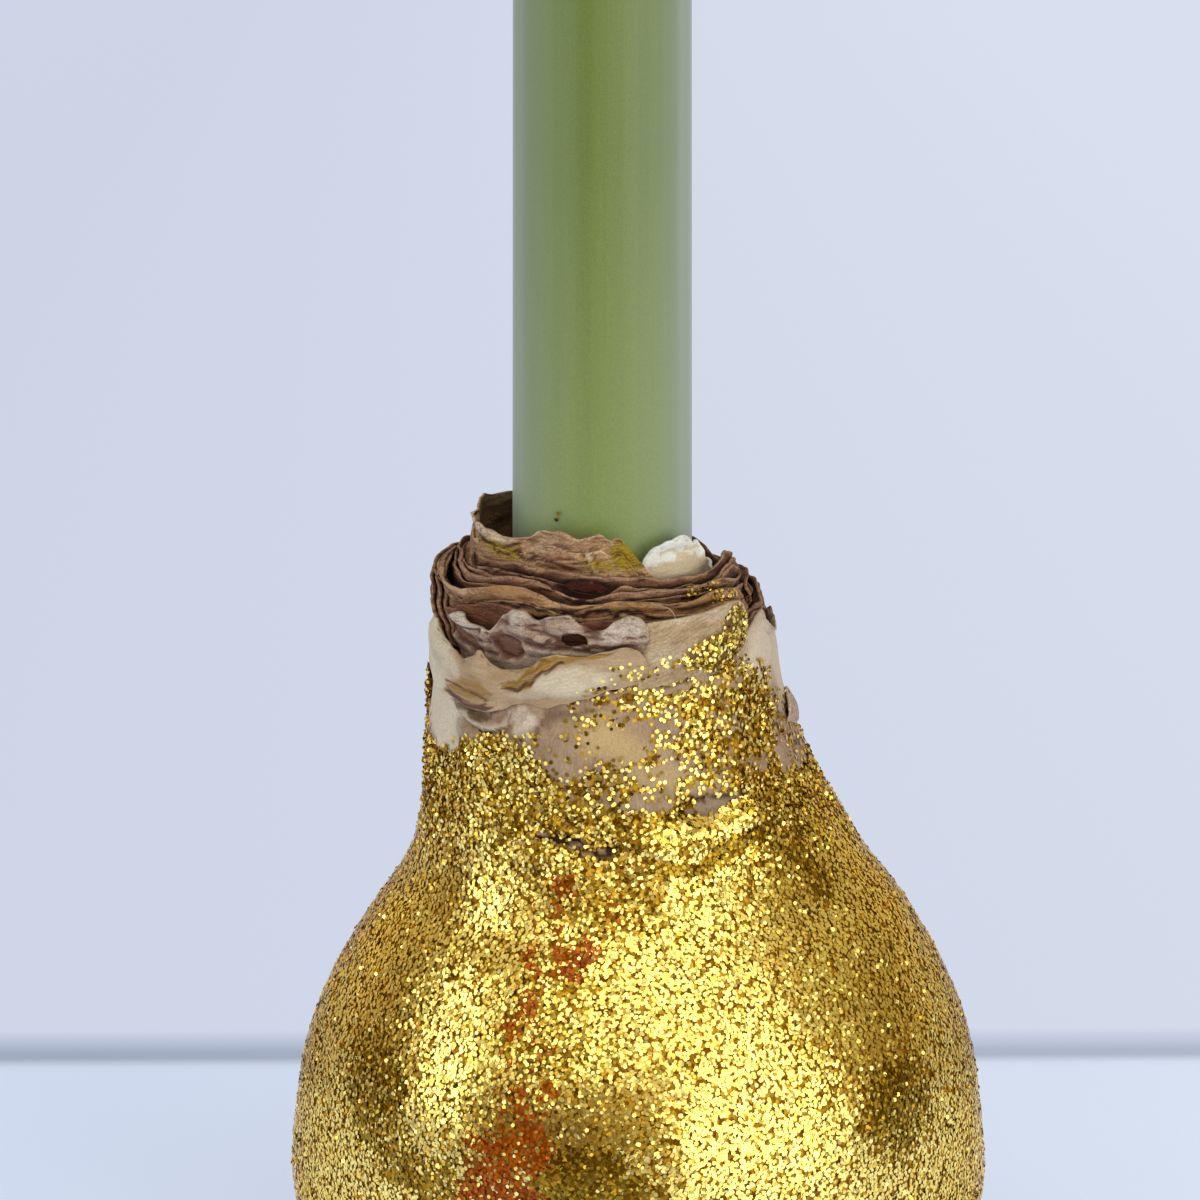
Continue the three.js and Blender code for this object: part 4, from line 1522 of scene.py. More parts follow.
@dataclass
class GlitterCoat:
    """The coat of loose flakes on the bulb, in four quarters, and the single flakes on the stem.

    Attributes:
        per_area: Flakes for each square millimetre of closed coat.
        under_belly: Share of them that is left near the resting spot.
        orange_share: Share of orange-red flakes, a painted reflection, in the middle of such a patch.
        looser_neck: How much more the flakes of the neck are tilted.
        darkened_share: Share of flakes darkened at random on the belly and on the neck.
        quarters: Names of the quarters, from the left of the front round by the front.
    """

    per_area: float = 7.0
    under_belly: float = 0.55
    orange_share: float = 0.75
    looser_neck: float = 2.6
    darkened_share: tuple[float, float] = (0.04, 0.34)
    quarters: tuple[str, ...] = ("glitter_back_left", "glitter_front_left", "glitter_front_right",
                                 "glitter_back_right")
    material: Material | None = None

    def build(self, body: Thing) -> None:
        """Scatter the flakes over the bulb's skin.

        Args:
            body: The bulb, in millimetres.
        """
        self.material = flake_material()
        coat = np.empty(len(body.data.vertices), np.float32)
        body.data.attributes["coat"].data.foreach_get("value", coat)
        # The painted orange reflection, as marked on the body.
        orange_reflection = np.empty(len(body.data.vertices), np.float32)
        body.data.attributes["orange_reflection"].data.foreach_get("value", orange_reflection)
        coat *= blend(self.under_belly, 1, ramp(places_of(body)[:, 2], 2, 14))
        spots, directions, reflects_orange = scattered(body, coat, self.per_area, 71, orange_reflection)
        turn = np.degrees(np.arctan2(spots[:, 0] - lean(spots[:, 2]), -spots[:, 1]))
        # Painted shade: darker flakes in the zones where the gold mirrors the dark room.
        darkened = strongest(SHADED_FLAKE_PATCHES, *frayed(turn, spots[:, 2], 0.9, 4.0))
        quarter = np.floor((np.degrees(np.arctan2(spots[:, 0], -spots[:, 1])) + 180) / 90).astype(int)
        for number, name in enumerate(self.quarters):
            mine = quarter == number
            flakes = Flakes(name, 80 + number)
            high = ramp(spots[mine, 2], 78, 90)
            dim = np.maximum(darkened[mine], blend(*self.darkened_share, high))
            flakes.build(spots[mine], directions[mine], self.orange_share * reflects_orange[mine],
                         1 + self.looser_neck * high, dim)
            flakes.dress(self.material)

    def strew(self, name: str, radius: float, spots: Keys, seed: int) -> None:
        """Lay single darkened flakes on the stem.

        Args:
            name: Name of the new flakes.
            radius: Radius of the stem there.
            spots: (azimuth, height) of each flake.
            seed: Number that fixes the draw.
        """
        turn = np.radians([azimuth for azimuth, _ in spots])
        outwards = np.column_stack([np.sin(turn), -np.cos(turn), np.zeros(len(spots))])
        places = radius * outwards + np.array([[STEM_OFFSET, 0, height] for _, height in spots])
        flakes = Flakes(name, seed, (0.28, 0.34), lie=12.0)
        flakes.build(places, outwards, 0.0, 1.0, 1.0, (0.1, 0.2))
        flakes.dress(self.material)


@dataclass(frozen=True)
class Spill:
    """Loose flakes that fell on patches of one piece.

    Attributes:
        name: Name of the flakes.
        under: Name of the piece that they lie on.
        spots: The patches that they cover.
        per_area: Flakes for each square millimetre.
        seed: Number that fixes the draw.
        darkened: Share of flakes darkened at random.
        size: Smallest and largest radius of a flake.
    """

    name: str
    under: str
    spots: Sequence[Spot | Stroke]
    per_area: float
    seed: int
    darkened: float = 0.35
    size: tuple[float, float] = (0.2, 0.29)

    def build(self, piece: Thing, material: Material) -> None:
        """Scatter the flakes over the outer face of the piece under them.

        Args:
            piece: The piece under the flakes, in millimetres.
            material: The finish of the flakes.
        """
        places = places_of(piece)
        outwards = normals_of(piece)
        azimuth = np.degrees(np.arctan2(places[:, 0] - NECK_OFFSET, -places[:, 1]))
        facing = outwards[:, 0] * np.sin(np.radians(azimuth)) - outwards[:, 1] * np.cos(np.radians(azimuth))
        density = np.clip(summed(self.spots, azimuth, places[:, 2]), 0, 1) * (facing > 0.2)
        found, directions, _ = scattered(piece, density, self.per_area, self.seed)
        flakes = Flakes(self.name, self.seed, self.size, lie=12.0)
        flakes.build(found, directions, 0.0, 1.0, self.darkened, (0.03, 0.2))
        flakes.dress(material)


SPILLS = (
    Spill("glitter_on_flap", "cream_flap", (
        Spot(46.5, 111.4, 2.4, 3.2, 1.0, 0, 0.3), Spot(38.5, 108.9, 5.2, 2.1, 1.0, 4, 0.3),
        Spot(22, 108.4, 2.4, 0.8, 0.3), Spot(43, 112.0, 0.8, 0.7, -0.9)), 8.5, 91),
    Spill("glitter_on_ochre_ring", "ochre_ring",
          (Spot(50, 115.0, 2.6, 1.0, 1.0, 0, 0.3), Spot(31, 114.8, 0.8, 0.8, 0.5)), 6.0, 92, 0.1),
    Spill("glitter_on_brown_ring", "brown_ring_2",
          (Spot(37, 115.5, 2.4, 0.7, 0.8), Spot(48, 115.8, 1.4, 0.6, 0.9)), 6.0, 96, 0.3),
    Spill("glitter_on_left_flake", "left_skin_flake",
          (Spot(-106, 102.0, 6.0, 5.0, 0.5), Spot(-102, 97, 6.0, 3.0, 0.6)), 6.0, 93),
    Spill("glitter_on_wrap", "pale_wrap", (
        Spot(4, 107.2, 3.4, 1.4, 0.2, 12), Spot(-3, 105.4, 2.4, 0.8, 0.4),
        Spot(14, 107.4, 3.0, 0.8, 0.5)), 6.0, 94),
    Spill("glitter_on_ledge", "bulb_body", (
        Stroke(((12, 87.4), (22, 87.8), (32, 88.0), (42, 89.4), (48, 91.0)),
               ((10, 0), (18, 0.5), (36, 0.8), (44, 0.7), (50, 0)), 1.0),), 9.0, 95, 0.0, (0.32, 0.4)),
)


@dataclass
class Stem:
    """The hollow green flower stem, cut off square.

    Attributes:
        foot_radius: Radius at its foot.
        top_radius: Radius at its cut end.
        sides: Sides round it.
    """

    foot_radius: float = 11.6
    top_radius: float = 11.0
    sides: int = 96
    piece: Thing | None = field(default=None, init=False)

    def outline(self) -> list[tuple[float, float]]:
        """Trace the outline from its foot up to the cut, and down the bore.

        Returns:
            The outline as (radius, height) points.
        """
        heights = np.linspace(SCALE_FOOT, STEM_TOP - 0.45, 34)
        share = (heights - SCALE_FOOT) / (STEM_TOP - SCALE_FOOT)
        wall = list(zip(blend(self.foot_radius, self.top_radius, share), heights))
        bore = STEM_BORE_RADIUS
        cut = [(self.top_radius - 0.14, STEM_TOP - 0.13), (self.top_radius - 0.45, STEM_TOP),
               (self.top_radius - 1.0, STEM_TOP - 0.12), (9.2, STEM_TOP - 0.05), (8.2, STEM_TOP - 0.14),
               (bore + 0.9, STEM_TOP - 0.05), (bore + 0.3, STEM_TOP - 0.1), (bore, STEM_TOP - 0.5)]
        inside = [(bore, height) for height in np.linspace(STEM_TOP - 4, STEM_BORE_FLOOR + 2, 8)]
        return [(0, SCALE_FOOT), *wall, *cut, *inside, (bore - 2, STEM_BORE_FLOOR), (0, STEM_BORE_FLOOR)]

    def build(self) -> None:
        """Spin the stem, raise its faint ribs and move it to its place."""
        self.piece = spun("green_stem", self.outline(), self.sides)
        places = places_of(self.piece)
        radius = np.hypot(places[:, 0], places[:, 1])
        turn = np.arctan2(places[:, 0], -places[:, 1])
        outside = radius > self.top_radius - 0.5
        rib = 0.08 * np.cos(7 * turn + 0.5) + 0.06 * np.cos(2 * turn) + 0.03 * np.cos(19 * turn)
        wide = radius + np.where(outside, rib, 0)
        inside = (~outside) & (places[:, 2] > STEM_BORE_FLOOR - 1)
        rough_cut = 0.06 * Cloud(21, (0.9, 0.9, 9.0)).at(places) * (inside & (places[:, 2] > STEM_TOP - 1))
        put_places(self.piece, np.column_stack(
            [wide * np.sin(turn) + STEM_OFFSET, -wide * np.cos(turn), places[:, 2] - np.abs(rough_cut)]))
        write_attribute(self.piece, "flesh", inside.astype(float))

    def dress(self) -> None:
        """Give the stem its green and hang it on the model."""
        made, graph, shader = new_material("green_stem_skin")
        spot = graph.add("TexCoord").outputs["Object"]
        upright = graph.vector("MULTIPLY", spot, (1.0, 1.0, 0.02))
        streak = graph.stretch(graph.noise(upright, 420.0, 3), 0.34, 0.68)
        lengthways = graph.vector("MULTIPLY", spot, (1.0, 1.0, 0.05))
        fine = graph.stretch(graph.noise(lengthways, 2600.0, 2), 0.3, 0.7)
        colour = graph.mix(srgb(97, 113, 38), srgb(107, 123, 48), streak)
        colour = graph.mix(colour, srgb(101, 119, 44), graph.math("MULTIPLY", fine, 0.35))
        height = graph.add("SeparateXYZ", {0: spot}).outputs["Z"]
        colour = graph.mix(colour, srgb(134, 148, 76), graph.stretch(height, 0.17, 0.115, 0, 0.7))
        grain = graph.stretch(graph.noise(spot, 4200.0, 2, 0.7), 0.36, 0.64, 0.88, 1.1)
        colour = graph.mix(colour, grain, 0.8, "MULTIPLY")
        # Painted reflection of the pale room: paler grey-green towards the grazing edges, stronger on the
        # right side.
        facing = graph.add("LayerWeight", {"Blend": 0.5}).outputs["Facing"]
        sideways = graph.add("SeparateXYZ", {0: spot}).outputs["X"]
        lit = graph.stretch(sideways, -0.014, 0.004, 0.7, 1.0)
        pale = graph.math("MULTIPLY", graph.stretch(facing, 0.02, 0.6, 0.0, 0.75), lit)
        colour = graph.mix(colour, srgb(148, 160, 142), pale)
        veins = graph.stretch(graph.noise(spot, 1500.0, 2), 0.5, 0.72)
        flesh = graph.mix(srgb(176, 190, 128), srgb(134, 154, 84), veins)
        colour = graph.mix(colour, flesh, graph.number("flesh"))
        graph.dress(shader, {
            "Base Color": colour, "Roughness": graph.stretch(fine, 0, 1, 0.44, 0.52),
            "Normal": graph.bump(graph.math("ADD", fine, streak), 0.04 * MM, 0.2),
            "Subsurface Weight": 0.15, "Subsurface Radius": (0.6, 1.0, 0.3), "Subsurface Scale": 0.003,
            "Sheen Weight": 0.4, "Sheen Roughness": 0.35, "Sheen Tint": srgb(206, 216, 226),
            "Specular IOR Level": 0.5})
        self.piece.data.materials.append(made)
        finish_piece(self.piece, ["flower_stem"], 40)


# The scales of the neck, from the stem outwards.
SCALES: tuple[Scale, ...] = (
    Scale(
        "white_flesh_scale", "white_scale", "white_flesh", PaperKind.FLESH, -14, 168, 12.05,
        rim=((-14, 115), (14, 117), (21, 119.8), (28, 121.2), (36, 121.8), (44, 121.8), (50, 121.4),
            (53, 119.9), (57, 120.8), (61, 120), (64, 118), (72, 116.4), (84, 115.6), (112, 115.6),
            (140, 116.4), (168, 113)),
        flare=((112, 0), (116, 1), (119.2, 1.5), (120, 0.8), (121.6, 0.9)),
        snug=True, tear=0.6, crumple=0.16, seed=2, pitch=0.55, edge=0.3, low=110, rows=22, inner_shade=0.1,
        stains=(Spot(44, 117.4, 12, 2, 0.95, 0, 0.15),),
        lumps=(Spot(27, 120.6, 1, 1, 0.2), Spot(43, 120.8, 1.4, 1, 0.25), Spot(58, 119.2, 0.7, 1.2, 0.4)),
    ),
    Scale(
        "tan_collar", "collar_scale", "tan_paper", PaperKind.TAN, -174, 23, 13.5,
        rim=((-174, 119), (-150, 122.2), (-130, 123.1), (-114, 123.4), (-104, 124.1), (-95, 124.2),
            (-89, 122.8), (-82, 121.9), (-74, 122.2), (-64, 122.2), (-55, 121.8), (-45, 122), (-36, 123),
            (-26, 123.2), (-15, 122.6), (-8, 122.8), (-3, 123.2), (2, 122), (6, 123), (11, 121.6),
            (16, 119.6), (23, 117.6)),
        flare=((112, 0), (118, 0.9), (123, 0.2)), tear=0.45, crumple=0.16, seed=3, pitch=0.66, rows=18,
        low=112, plies=((-0.1, 0, 0), (0.3, 1.9, 0)), grain=6, gloom=0.1, inner_shade=0.6, thickness=0.34,
        stains=(Spot(10, 120.6, 3.4, 2, 1, -10, 0.4), Spot(-4, 119.4, 3.4, 0.7, 0.8, -8, 0.8),
            Stroke(((-74, 121), (-60, 120), (-46, 119.4)), ((-78, 0), (-66, 0.6), (-52, 0.7), (-44, 0)),
            0.9)),
        pale_and_highlight_spots=(Stroke(((-92, 122.6), (-78, 122), (-60, 121.5), (-48, 121.2)), ((-96, 0), (-86, 0.9),
            (-60, 0.9), (-46, 0)), 0.85), Stroke(((-134, 122.4), (-118, 122.9), (-104, 123.5),
            (-92, 122.8)), ((-138, 0), (-120, 0.6), (-96, 0.7), (-90, 0)), 0.8),
            Spot(-7, 119.6, 1.7, 0.5, 0.9, -50), Spot(-28, 121.6, 5, 0.9, 0.35)),
        shades=(Stroke(((-84, 121), (-66, 120.3), (-50, 119.7), (-36, 119.4), (-18, 119.3)), ((-86, 0),
            (-70, 0.2), (-40, 0.25), (-16, 0)), 0.9), Spot(12, 118, 3.4, 0.3, 0.7),
            Spot(-9, 116.3, 5.4, 1.5, 1, 0, 0.3), Spot(-80, 121.9, 0.5, 0.3, 0.6),
            Spot(-72, 121.5, 0.4, 0.25, 0.6), Spot(-86, 122.4, 0.4, 0.3, 0.6)),
        lumps=(Stroke(((-90, 122.4), (-76, 121.9), (-60, 121.4), (-48, 121.1)), ((-94, 0), (-82, 0.9),
            (-60, 0.9), (-46, 0)), 0.8, softness=1.6), Spot(-24, 120.3, 5.4, 0.7, 0.45, -2),
            Spot(-28, 118.9, 5.8, 0.5, -0.6, -3), Spot(-7, 119.8, 1.7, 0.6, 0.55, -50),
            Spot(-108, 122.2, 2, 1.6, 0.4, 30, 1.2), Spot(-120, 121.6, 2, 1.8, -0.4, 10, 1.2)),
    ),
    Scale(
        "brown_ring_1", "inner_scale_1", "brown_paper", PaperKind.BROWN, -150, 196, 14.7,
        rim=((-150, 116), (-118, 118.2), (-100, 119.4), (-86, 119), (-72, 118.4), (-44, 118.5),
            (-22, 118.5), (-3, 118.1), (4, 118.1), (12, 117.9), (22, 117.6), (34, 117.2), (50, 116.8),
            (58, 117.3), (66, 118.3), (76, 118.4), (86, 117.6), (98, 116), (112, 114.8), (135, 116.4),
            (150, 116.4), (196, 115)),
        flare=((110, 0), (118, 1.1)), seed=4, tear=0.5, crumple=0.26, low=111, rows=9, pitch=0.95,
        plies=((-0.45, -0.1, 0), (0.05, 0.9, 4), (0.4, 1.7, 0)), edge=0.7, gloom=0.9, dusk=1.3,
        thickness=0.34, inner_shade=0.2, notch=((-26, 0), (-19, 1.7), (-4, 1.7), (2, 0)),
        shades=(Spot(-11, 116.3, 4.9, 1.3, 1, -2, 0.3), Stroke(((-90, 118.4), (-66, 117.4), (-44, 117.6),
            (-26, 117.7)), ((-92, 0), (-70, 0.25), (-40, 0.2), (-24, 0)), 0.9)),
        lumps=(Spot(-11, 116.4, 4.8, 1.2, -0.8), Spot(-95, 119, 10, 1.6, -1.1, 0, 1)),
    ),
    Scale(
        "brown_ring_2", "inner_scale_2", "brown_paper", PaperKind.BROWN, -184, 150, 15.9,
        rim=((-184, 114), (-130, 116.2), (-104, 118.2), (-92, 118), (-78, 116.8), (-64, 116.4),
            (-46, 117.2), (-30, 117.4), (-22, 116.6), (-16, 115.7), (-6, 115.5), (0, 115.9), (8, 116.5),
            (18, 116.6), (34, 116.4), (45, 116.2), (57, 116.2), (76, 115), (112, 113.4), (150, 113.4)),
        flare=((109, 0), (117, 1.1)), seed=5, tear=0.35, crumple=0.24, low=109, rows=9, pitch=0.95,
        plies=((-0.35, -0.1, 0), (0.3, 0.9, -4)), edge=0.7, gloom=0.85, dusk=1.5, thickness=0.36,
        inner_shade=0.3, shades=(Spot(-11, 115.2, 3.6, 0.5, 0.95, 0, 0.6),),
        lumps=(Spot(-95, 117.4, 11, 2, -0.6, 0, 1), Stroke(((-86, 117), (-66, 116), (-46, 116.6),
            (-28, 116.9), (-20, 116.4)), ((-90, 0), (-70, 0.5), (-40, 0.6), (-18, 0)), 0.5, softness=1.6),
            Stroke(((2, 115.8), (20, 116.2), (44, 115.8), (60, 115.6)), ((0, 0), (12, 0.5), (50, 0.5),
            (64, 0)), 0.5, softness=1.6)),
    ),
    Scale(
        "ochre_ring", "ochre_scale", "ochre_paper", PaperKind.OCHRE, -104, 84, 17.15,
        rim=((-104, 115.4), (-94, 117), (-84, 116.2), (-74, 115), (-64, 114.9), (-54, 115.8), (-46, 116.4),
            (-34, 116.8), (-27, 116.4), (-20, 115.6), (-12, 115.2), (-5, 115.3), (2, 115.9), (9, 116.1),
            (16, 115.7), (23, 115.1), (33, 115), (45, 115.6), (58, 115.2), (70, 113.4), (84, 111)),
        flare=((108, 0), (112.6, 0.5), (114, 1.1), (115, 1.2), (116.2, 0.8)),
        bulge=0.95, seed=6, pitch=0.8, rows=18, low=106, tear=0.2, crumple=0.14,
        plies=((0, 0, 0), (0.42, 1.6, 3)), edge=0.35, gloom=0.3, dusk=2.6, thickness=0.36, inner_shade=0.3,
        lumps=(Stroke(((-100, 116), (-84, 115.4), (-68, 114.3), (-48, 115.4), (-31, 115.8), (-20, 115.2),
            (-8, 115.1)), ((-104, 0), (-92, 0.7), (-60, 0.75), (-30, 0.85), (-14, 0.4), (-6, 0)), 0.75,
            softness=1.6), Stroke(((-6, 115), (1, 115.6), (9, 115.7), (16, 115.3), (24, 114.6)), ((-8, 0),
            (2, 0.6), (14, 0.6), (26, 0)), 0.6, softness=1.6), Stroke(((26, 114.6), (44, 115),
            (58, 114.6)), ((24, 0), (36, 0.5), (54, 0.5), (62, 0)), 0.45, softness=1.6)),
        stains=(Spot(40, 114.6, 5, 0.8, 0.6), Spot(10, 115.4, 6, 0.9, 0.6), Stroke(((-56, 115.4),
            (-40, 116.2), (-22, 115.5)), ((-60, 0), (-48, 0.3), (-30, 0.3), (-18, 0)), 0.6)),
        shades=(Stroke(((-90, 114.6), (-66, 113.4), (-46, 114.3), (-30, 114.7), (-12, 114.8)), ((-94, 0),
            (-70, 0.2), (-30, 0.25), (-10, 0)), 0.9), Stroke(((-30, 113.4), (-18, 113.8), (-3, 114.3),
            (8, 114.5), (22, 113.9)), ((-34, 0), (-20, 0.35), (0, 0.4), (14, 0.3), (26, 0)), 0.98),
            Stroke(((-8, 116), (6, 116.6), (20, 115.9)), ((-10, 0), (6, 0.2), (22, 0)), 0.6)),
        pale_and_highlight_spots=(Stroke(((-98, 116.6), (-84, 115.8), (-68, 114.8), (-52, 115.4)), ((-102, 0), (-88, 0.5),
            (-62, 0.4), (-48, 0)), 0.9), Stroke(((-50, 115.8), (-34, 116.3), (-22, 115.8)), ((-54, 0),
            (-38, 0.35), (-20, 0)), 0.5)),
    ),
    Scale(
        "rear_ring", "rear_scale", "brown_paper", PaperKind.BROWN, 92, 176, 17.15,
        rim=((92, 111.4), (100, 112.8), (108, 113.3), (120, 113.8), (135, 114), (156, 115), (176, 113)),
        flare=((108, 0), (116, 1)), bulge=0, seed=7, tear=0.7, low=104, crumple=0.34, gloom=0.2,
        inner_shade=0.1, plies=((0, 0, 0), (0.5, 1, 0)),
    ),
    Scale(
        "dark_ring", "dark_scale", "dark_paper", PaperKind.DARK, -84, 58, 18.35,
        rim=((-84, 110.5), (-70, 112), (-60, 113.2), (-48, 114.2), (-38, 114.2), (-28, 113.2),
            (-16, 112.9), (-4, 113.6), (10, 113.6), (34, 113.2), (58, 110.4)),
        flare=((107, 0), (113, 0.8)), bulge=0.8, seed=8, tear=0.2, low=103, crumple=0.16, edge=0.3,
        gloom=0.2, thickness=0.3,
    ),
    Scale(
        "mauve_lip", "lip_scale", "mauve_skin", PaperKind.MAUVE, -66, 14.4, 19.4,
        rim=((-66, 111.3), (-59, 112.5), (-51, 111.5), (-45, 110.9), (-38, 113.5), (-33, 114.5),
            (-29, 114.6), (-25, 113.3), (-20, 114), (-13, 114.4), (-8, 113.1), (-5, 112.3), (-1, 112.9),
            (3, 114), (8, 114.6), (12, 114.2), (14.4, 112.6)),
        flare=((107.5, -0.2), (110.5, 1), (114, 0.7)), bulge=0.28, seed=9, thickness=0.7, tear=0.12,
        crumple=0.18, pitch=0.46, rows=26, low=103, edge=0.45,
        lumps=(Spot(-31, 113.2, 2, 1.6, 0.9, 70, 1.2), Spot(-57, 111.6, 3.4, 0.7, 0.7, 0, 1),
            Spot(-14, 112.9, 2.2, 0.9, 0.8, 0, 1), Spot(4, 112.9, 3, 1.5, 1, 12, 1),
            Spot(11.6, 112.6, 1.3, 1.5, 0.7, 0, 1), Spot(-24, 111.3, 3, 0.7, 0.5, -14, 1),
            Spot(-2, 111.2, 5.4, 0.5, 0.5, 4, 1), Spot(-60, 109.4, 4.2, 1.2, -0.7, -24, 0.4),
            Spot(-37, 109.4, 2.7, 1.6, -0.7, 0, 0.4), Spot(-5, 113.2, 1.2, 1.2, -0.7, 0, 1),
            Spot(-47, 109.8, 0.5, 1.3, 0.5, 0, 1), Spot(-20, 110.2, 6, 0.4, -0.4, -3, 1)),
        holes=(Spot(-10.8, 111.5, 1.45, 0.5, 1, 3, 0.1),),
        shades=(Spot(-10.8, 111.5, 1.8, 0.8, 0.9, 3, 0.5), Spot(-5, 113.6, 1.3, 1.3, 0.5),
            Spot(-60, 108.2, 4.4, 0.5, 0.5, -24), Spot(-9, 110.8, 8.4, 0.45, 0.9, -1, 0.4),
            Spot(-30, 110.9, 3, 0.3, 0.5, -20), Spot(-22, 113.4, 0.5, 1.2, 0.5, 30)),
        stains=(Spot(-60, 109.5, 4.6, 1.3, 1, -24, 0.2), Spot(-37, 109.4, 2.8, 1.9, 1, 0, 0.2),
            Spot(-5, 113.6, 1.6, 1.5, 0.8, 0, 0.4)),
        pale_and_highlight_spots=(Spot(5, 113.2, 2.8, 1.3, 0.8, 12), Spot(-31, 113.6, 1.8, 1.4, 0.6, 60),
            Spot(-57, 111.8, 4, 0.7, 0.8, 0)),
    ),
    Scale(
        "cream_flap", "flap_scale", "tan_paper", PaperKind.CREAM, 10, 53, 20.1,
        rim=((10, 113), (14, 113.8), (23, 114), (33, 114.3), (40, 114.7), (46, 115), (49.5, 114.8),
            (52, 113.4), (53, 111.4)),
        flare=((-2.6, -0.6), (-1.2, 1.2), (0.4, 1.55), (2.2, 1.4)), snug=True, above_wall=True,
        model_thickness=0.7, seed=10, tear=0.05, crumple=0.06, pitch=0.5, rows=24, low=103, edge=0.4,
        thickness=0.5, grain=24,
        lumps=(Spot(9.5, 111.8, 1.4, 2.6, -1.6, 0, 0.8), Spot(36, 110, 4, 1.4, 0.2, 20, 1.2)),
        pale_and_highlight_spots=(Spot(51, 112, 0.7, 3, 0.7), Spot(34, 113.9, 6, 0.6, 0.6, 2), Spot(20, 109.5, 3, 1.4, 0.5)),
        stains=(Spot(46.5, 111.4, 2.4, 3, 1, 0, 0.4), Spot(39, 109.1, 5.2, 2.2, 1, 4, 0.4)),
        shades=(Spot(46.5, 111.4, 2.2, 2.8, 0.3, 0, 0.5), Spot(39, 109.1, 5, 2, 0.3, 4, 0.5)),
    ),
    Scale(
        "dark_left_scale", "left_scale", "dark_paper", PaperKind.BROWN, -166, -72, 20,
        rim=((-166, 111.6), (-144, 115.2), (-118, 116.8), (-98, 117.4), (-89, 116), (-83, 112),
            (-72, 107)),
        flare=((0.4, 0.5), (1.6, 1.3), (3.5, 1.9), (6, 1.8), (7.6, 1.1), (9.2, -0.6)),
        snug=True, above_wall=True, model_thickness=0.7, seed=12, low=103, tear=0.35, crumple=0.26,
        edge=0.6, rows=14, plies=((0, 0, 0), (-0.7, 0, 4), (-1.4, 0.4, 7)), gloom=0.2, inner_shade=0.2,
    ),
    Scale(
        "brown_back_scale", "back_scale", "brown_paper", PaperKind.BROWN, 60, 204, 19.1,
        rim=((60, 108), (74, 110.8), (90, 110.4), (104, 112), (126, 112.8), (148, 111.6), (166, 113.2),
            (184, 112.4), (204, 110)),
        flare=((0, -0.5), (4, 0.5)), bulge=0, above_wall=True, seed=13, low=103, tear=0.9, crumple=0.34,
        plies=((0, 0, 0), (-0.6, -0.9, 0)), inner_shade=0.1,
    ),
    Wrap(
        "pale_wrap", "wrap_scale", "pale_skin", PaperKind.PALE, -92, 30, 0,
        rim=((-92, 108.8), (-86, 109.8), (-79, 110), (-74, 109), (-66, 108.2), (-60, 107.6), (-54, 106.9),
            (-49, 107.6), (-46, 108.8), (-44, 107.9), (-40, 107.2), (-36, 106.9), (-30, 107.2),
            (-25, 107.8), (-21, 109.2), (-16, 109.7), (-8, 109.6), (0, 110.3), (6, 110.8), (10, 110.4),
            (14, 108.6), (21, 107.6), (30, 107.2)),
        flare=((102, 0), (106.5, 0.4), (109, 0.2)), seed=14, tear=0.06, crumple=0.05, pitch=0.46, rows=24,
        edge=0.1, thickness=0.36, tuck=0.5, inner_shade=0.15, fray=0.1,
        flow=((-92, 0), (-68, 0), (-50, -0.6), (-38, -0.6), (-24, 1.8), (-14, 3), (12, 3.4), (30, 2)),
        lower=((-92, 102.6), (-84, 101.6), (-76, 101), (-66, 101.4), (-58, 101.4), (-50, 100.9),
            (-42, 101), (-36, 101.6), (-31, 102.6), (-27, 103), (-20, 102.6), (-14, 103.4), (-7, 104.2),
            (2, 105.5), (12, 106.2), (30, 106.9)),
        lift=((-92, 0.1), (-72, 0.15), (-64, 0.4), (-56, 0.6), (-40, 0.6), (-34, 0.1), (-28, 0.3),
            (-12, 0.3), (0, 0.1), (8, 0), (14, -0.5), (30, -0.6)),
        lumps=(Spot(-15, 106.2, 4.6, 1.6, 0.5, 8, 1.2), Spot(-44, 104.8, 3, 1.3, 0.35, -10, 1.2),
            Stroke(((-36, 104.6), (-30, 104.7), (-25, 105.8), (-20, 107.4), (-14, 108.8)), ((-37, 0),
            (-30, 0.4), (-18, 0.4), (-12, 0)), -0.4, softness=1.6), Stroke(((-66, 103), (-56, 102.6),
            (-46, 102.3)), ((-68, 0), (-58, 0.4), (-46, 0.4), (-40, 0)), 0.25, softness=1.6)),
        stains=(Stroke(((-67, 101.9), (-58, 102.6), (-51, 103.5), (-46, 104), (-41, 103.6)), ((-68, 0),
            (-62, 0.5), (-55, 1.2), (-48, 1.7), (-43, 1.4), (-38, 0)), 0.85, softness=1),
            Stroke(((-36, 105.1), (-30, 105.3), (-25, 106.5), (-20, 108.3), (-16, 109.1), (-8, 109.4),
            (6, 110.4)), ((-37, 0), (-34, 0.4), (-30, 0.85), (-25, 1.15), (-20, 0.95), (-15, 0.45),
            (-6, 0.3), (8, 0)), 1, softness=0.4), Spot(-34, 106.4, 2.6, 0.6, 0.3, 20)),
        pale_and_highlight_spots=(Spot(-12, 106.4, 5.2, 1.9, 0.95, 6), Spot(-78, 106.2, 7.4, 5.6, 1, -10, 0.3),
            Spot(-60, 105.6, 2.6, 1.4, 0.7, -20), Spot(-25, 104.3, 3, 0.6, 0.5, 10)),
        shades=(Stroke(((-66, 101.9), (-58, 101.9), (-50, 101.4), (-42, 101.5), (-36, 102.1)), ((-68, 0),
            (-60, 0.3), (-44, 0.35), (-36, 0)), 0.9), Stroke(((-36, 105.3), (-30, 105.7), (-25, 107),
            (-20, 108.8)), ((-37, 0), (-29, 0.16), (-20, 0.16), (-17, 0)), 0.4), Stroke(((-36, 104.8),
            (-30, 104.8), (-25, 105.8), (-21, 107.3)), ((-37, 0), (-30, 0.15), (-22, 0.15), (-18, 0)),
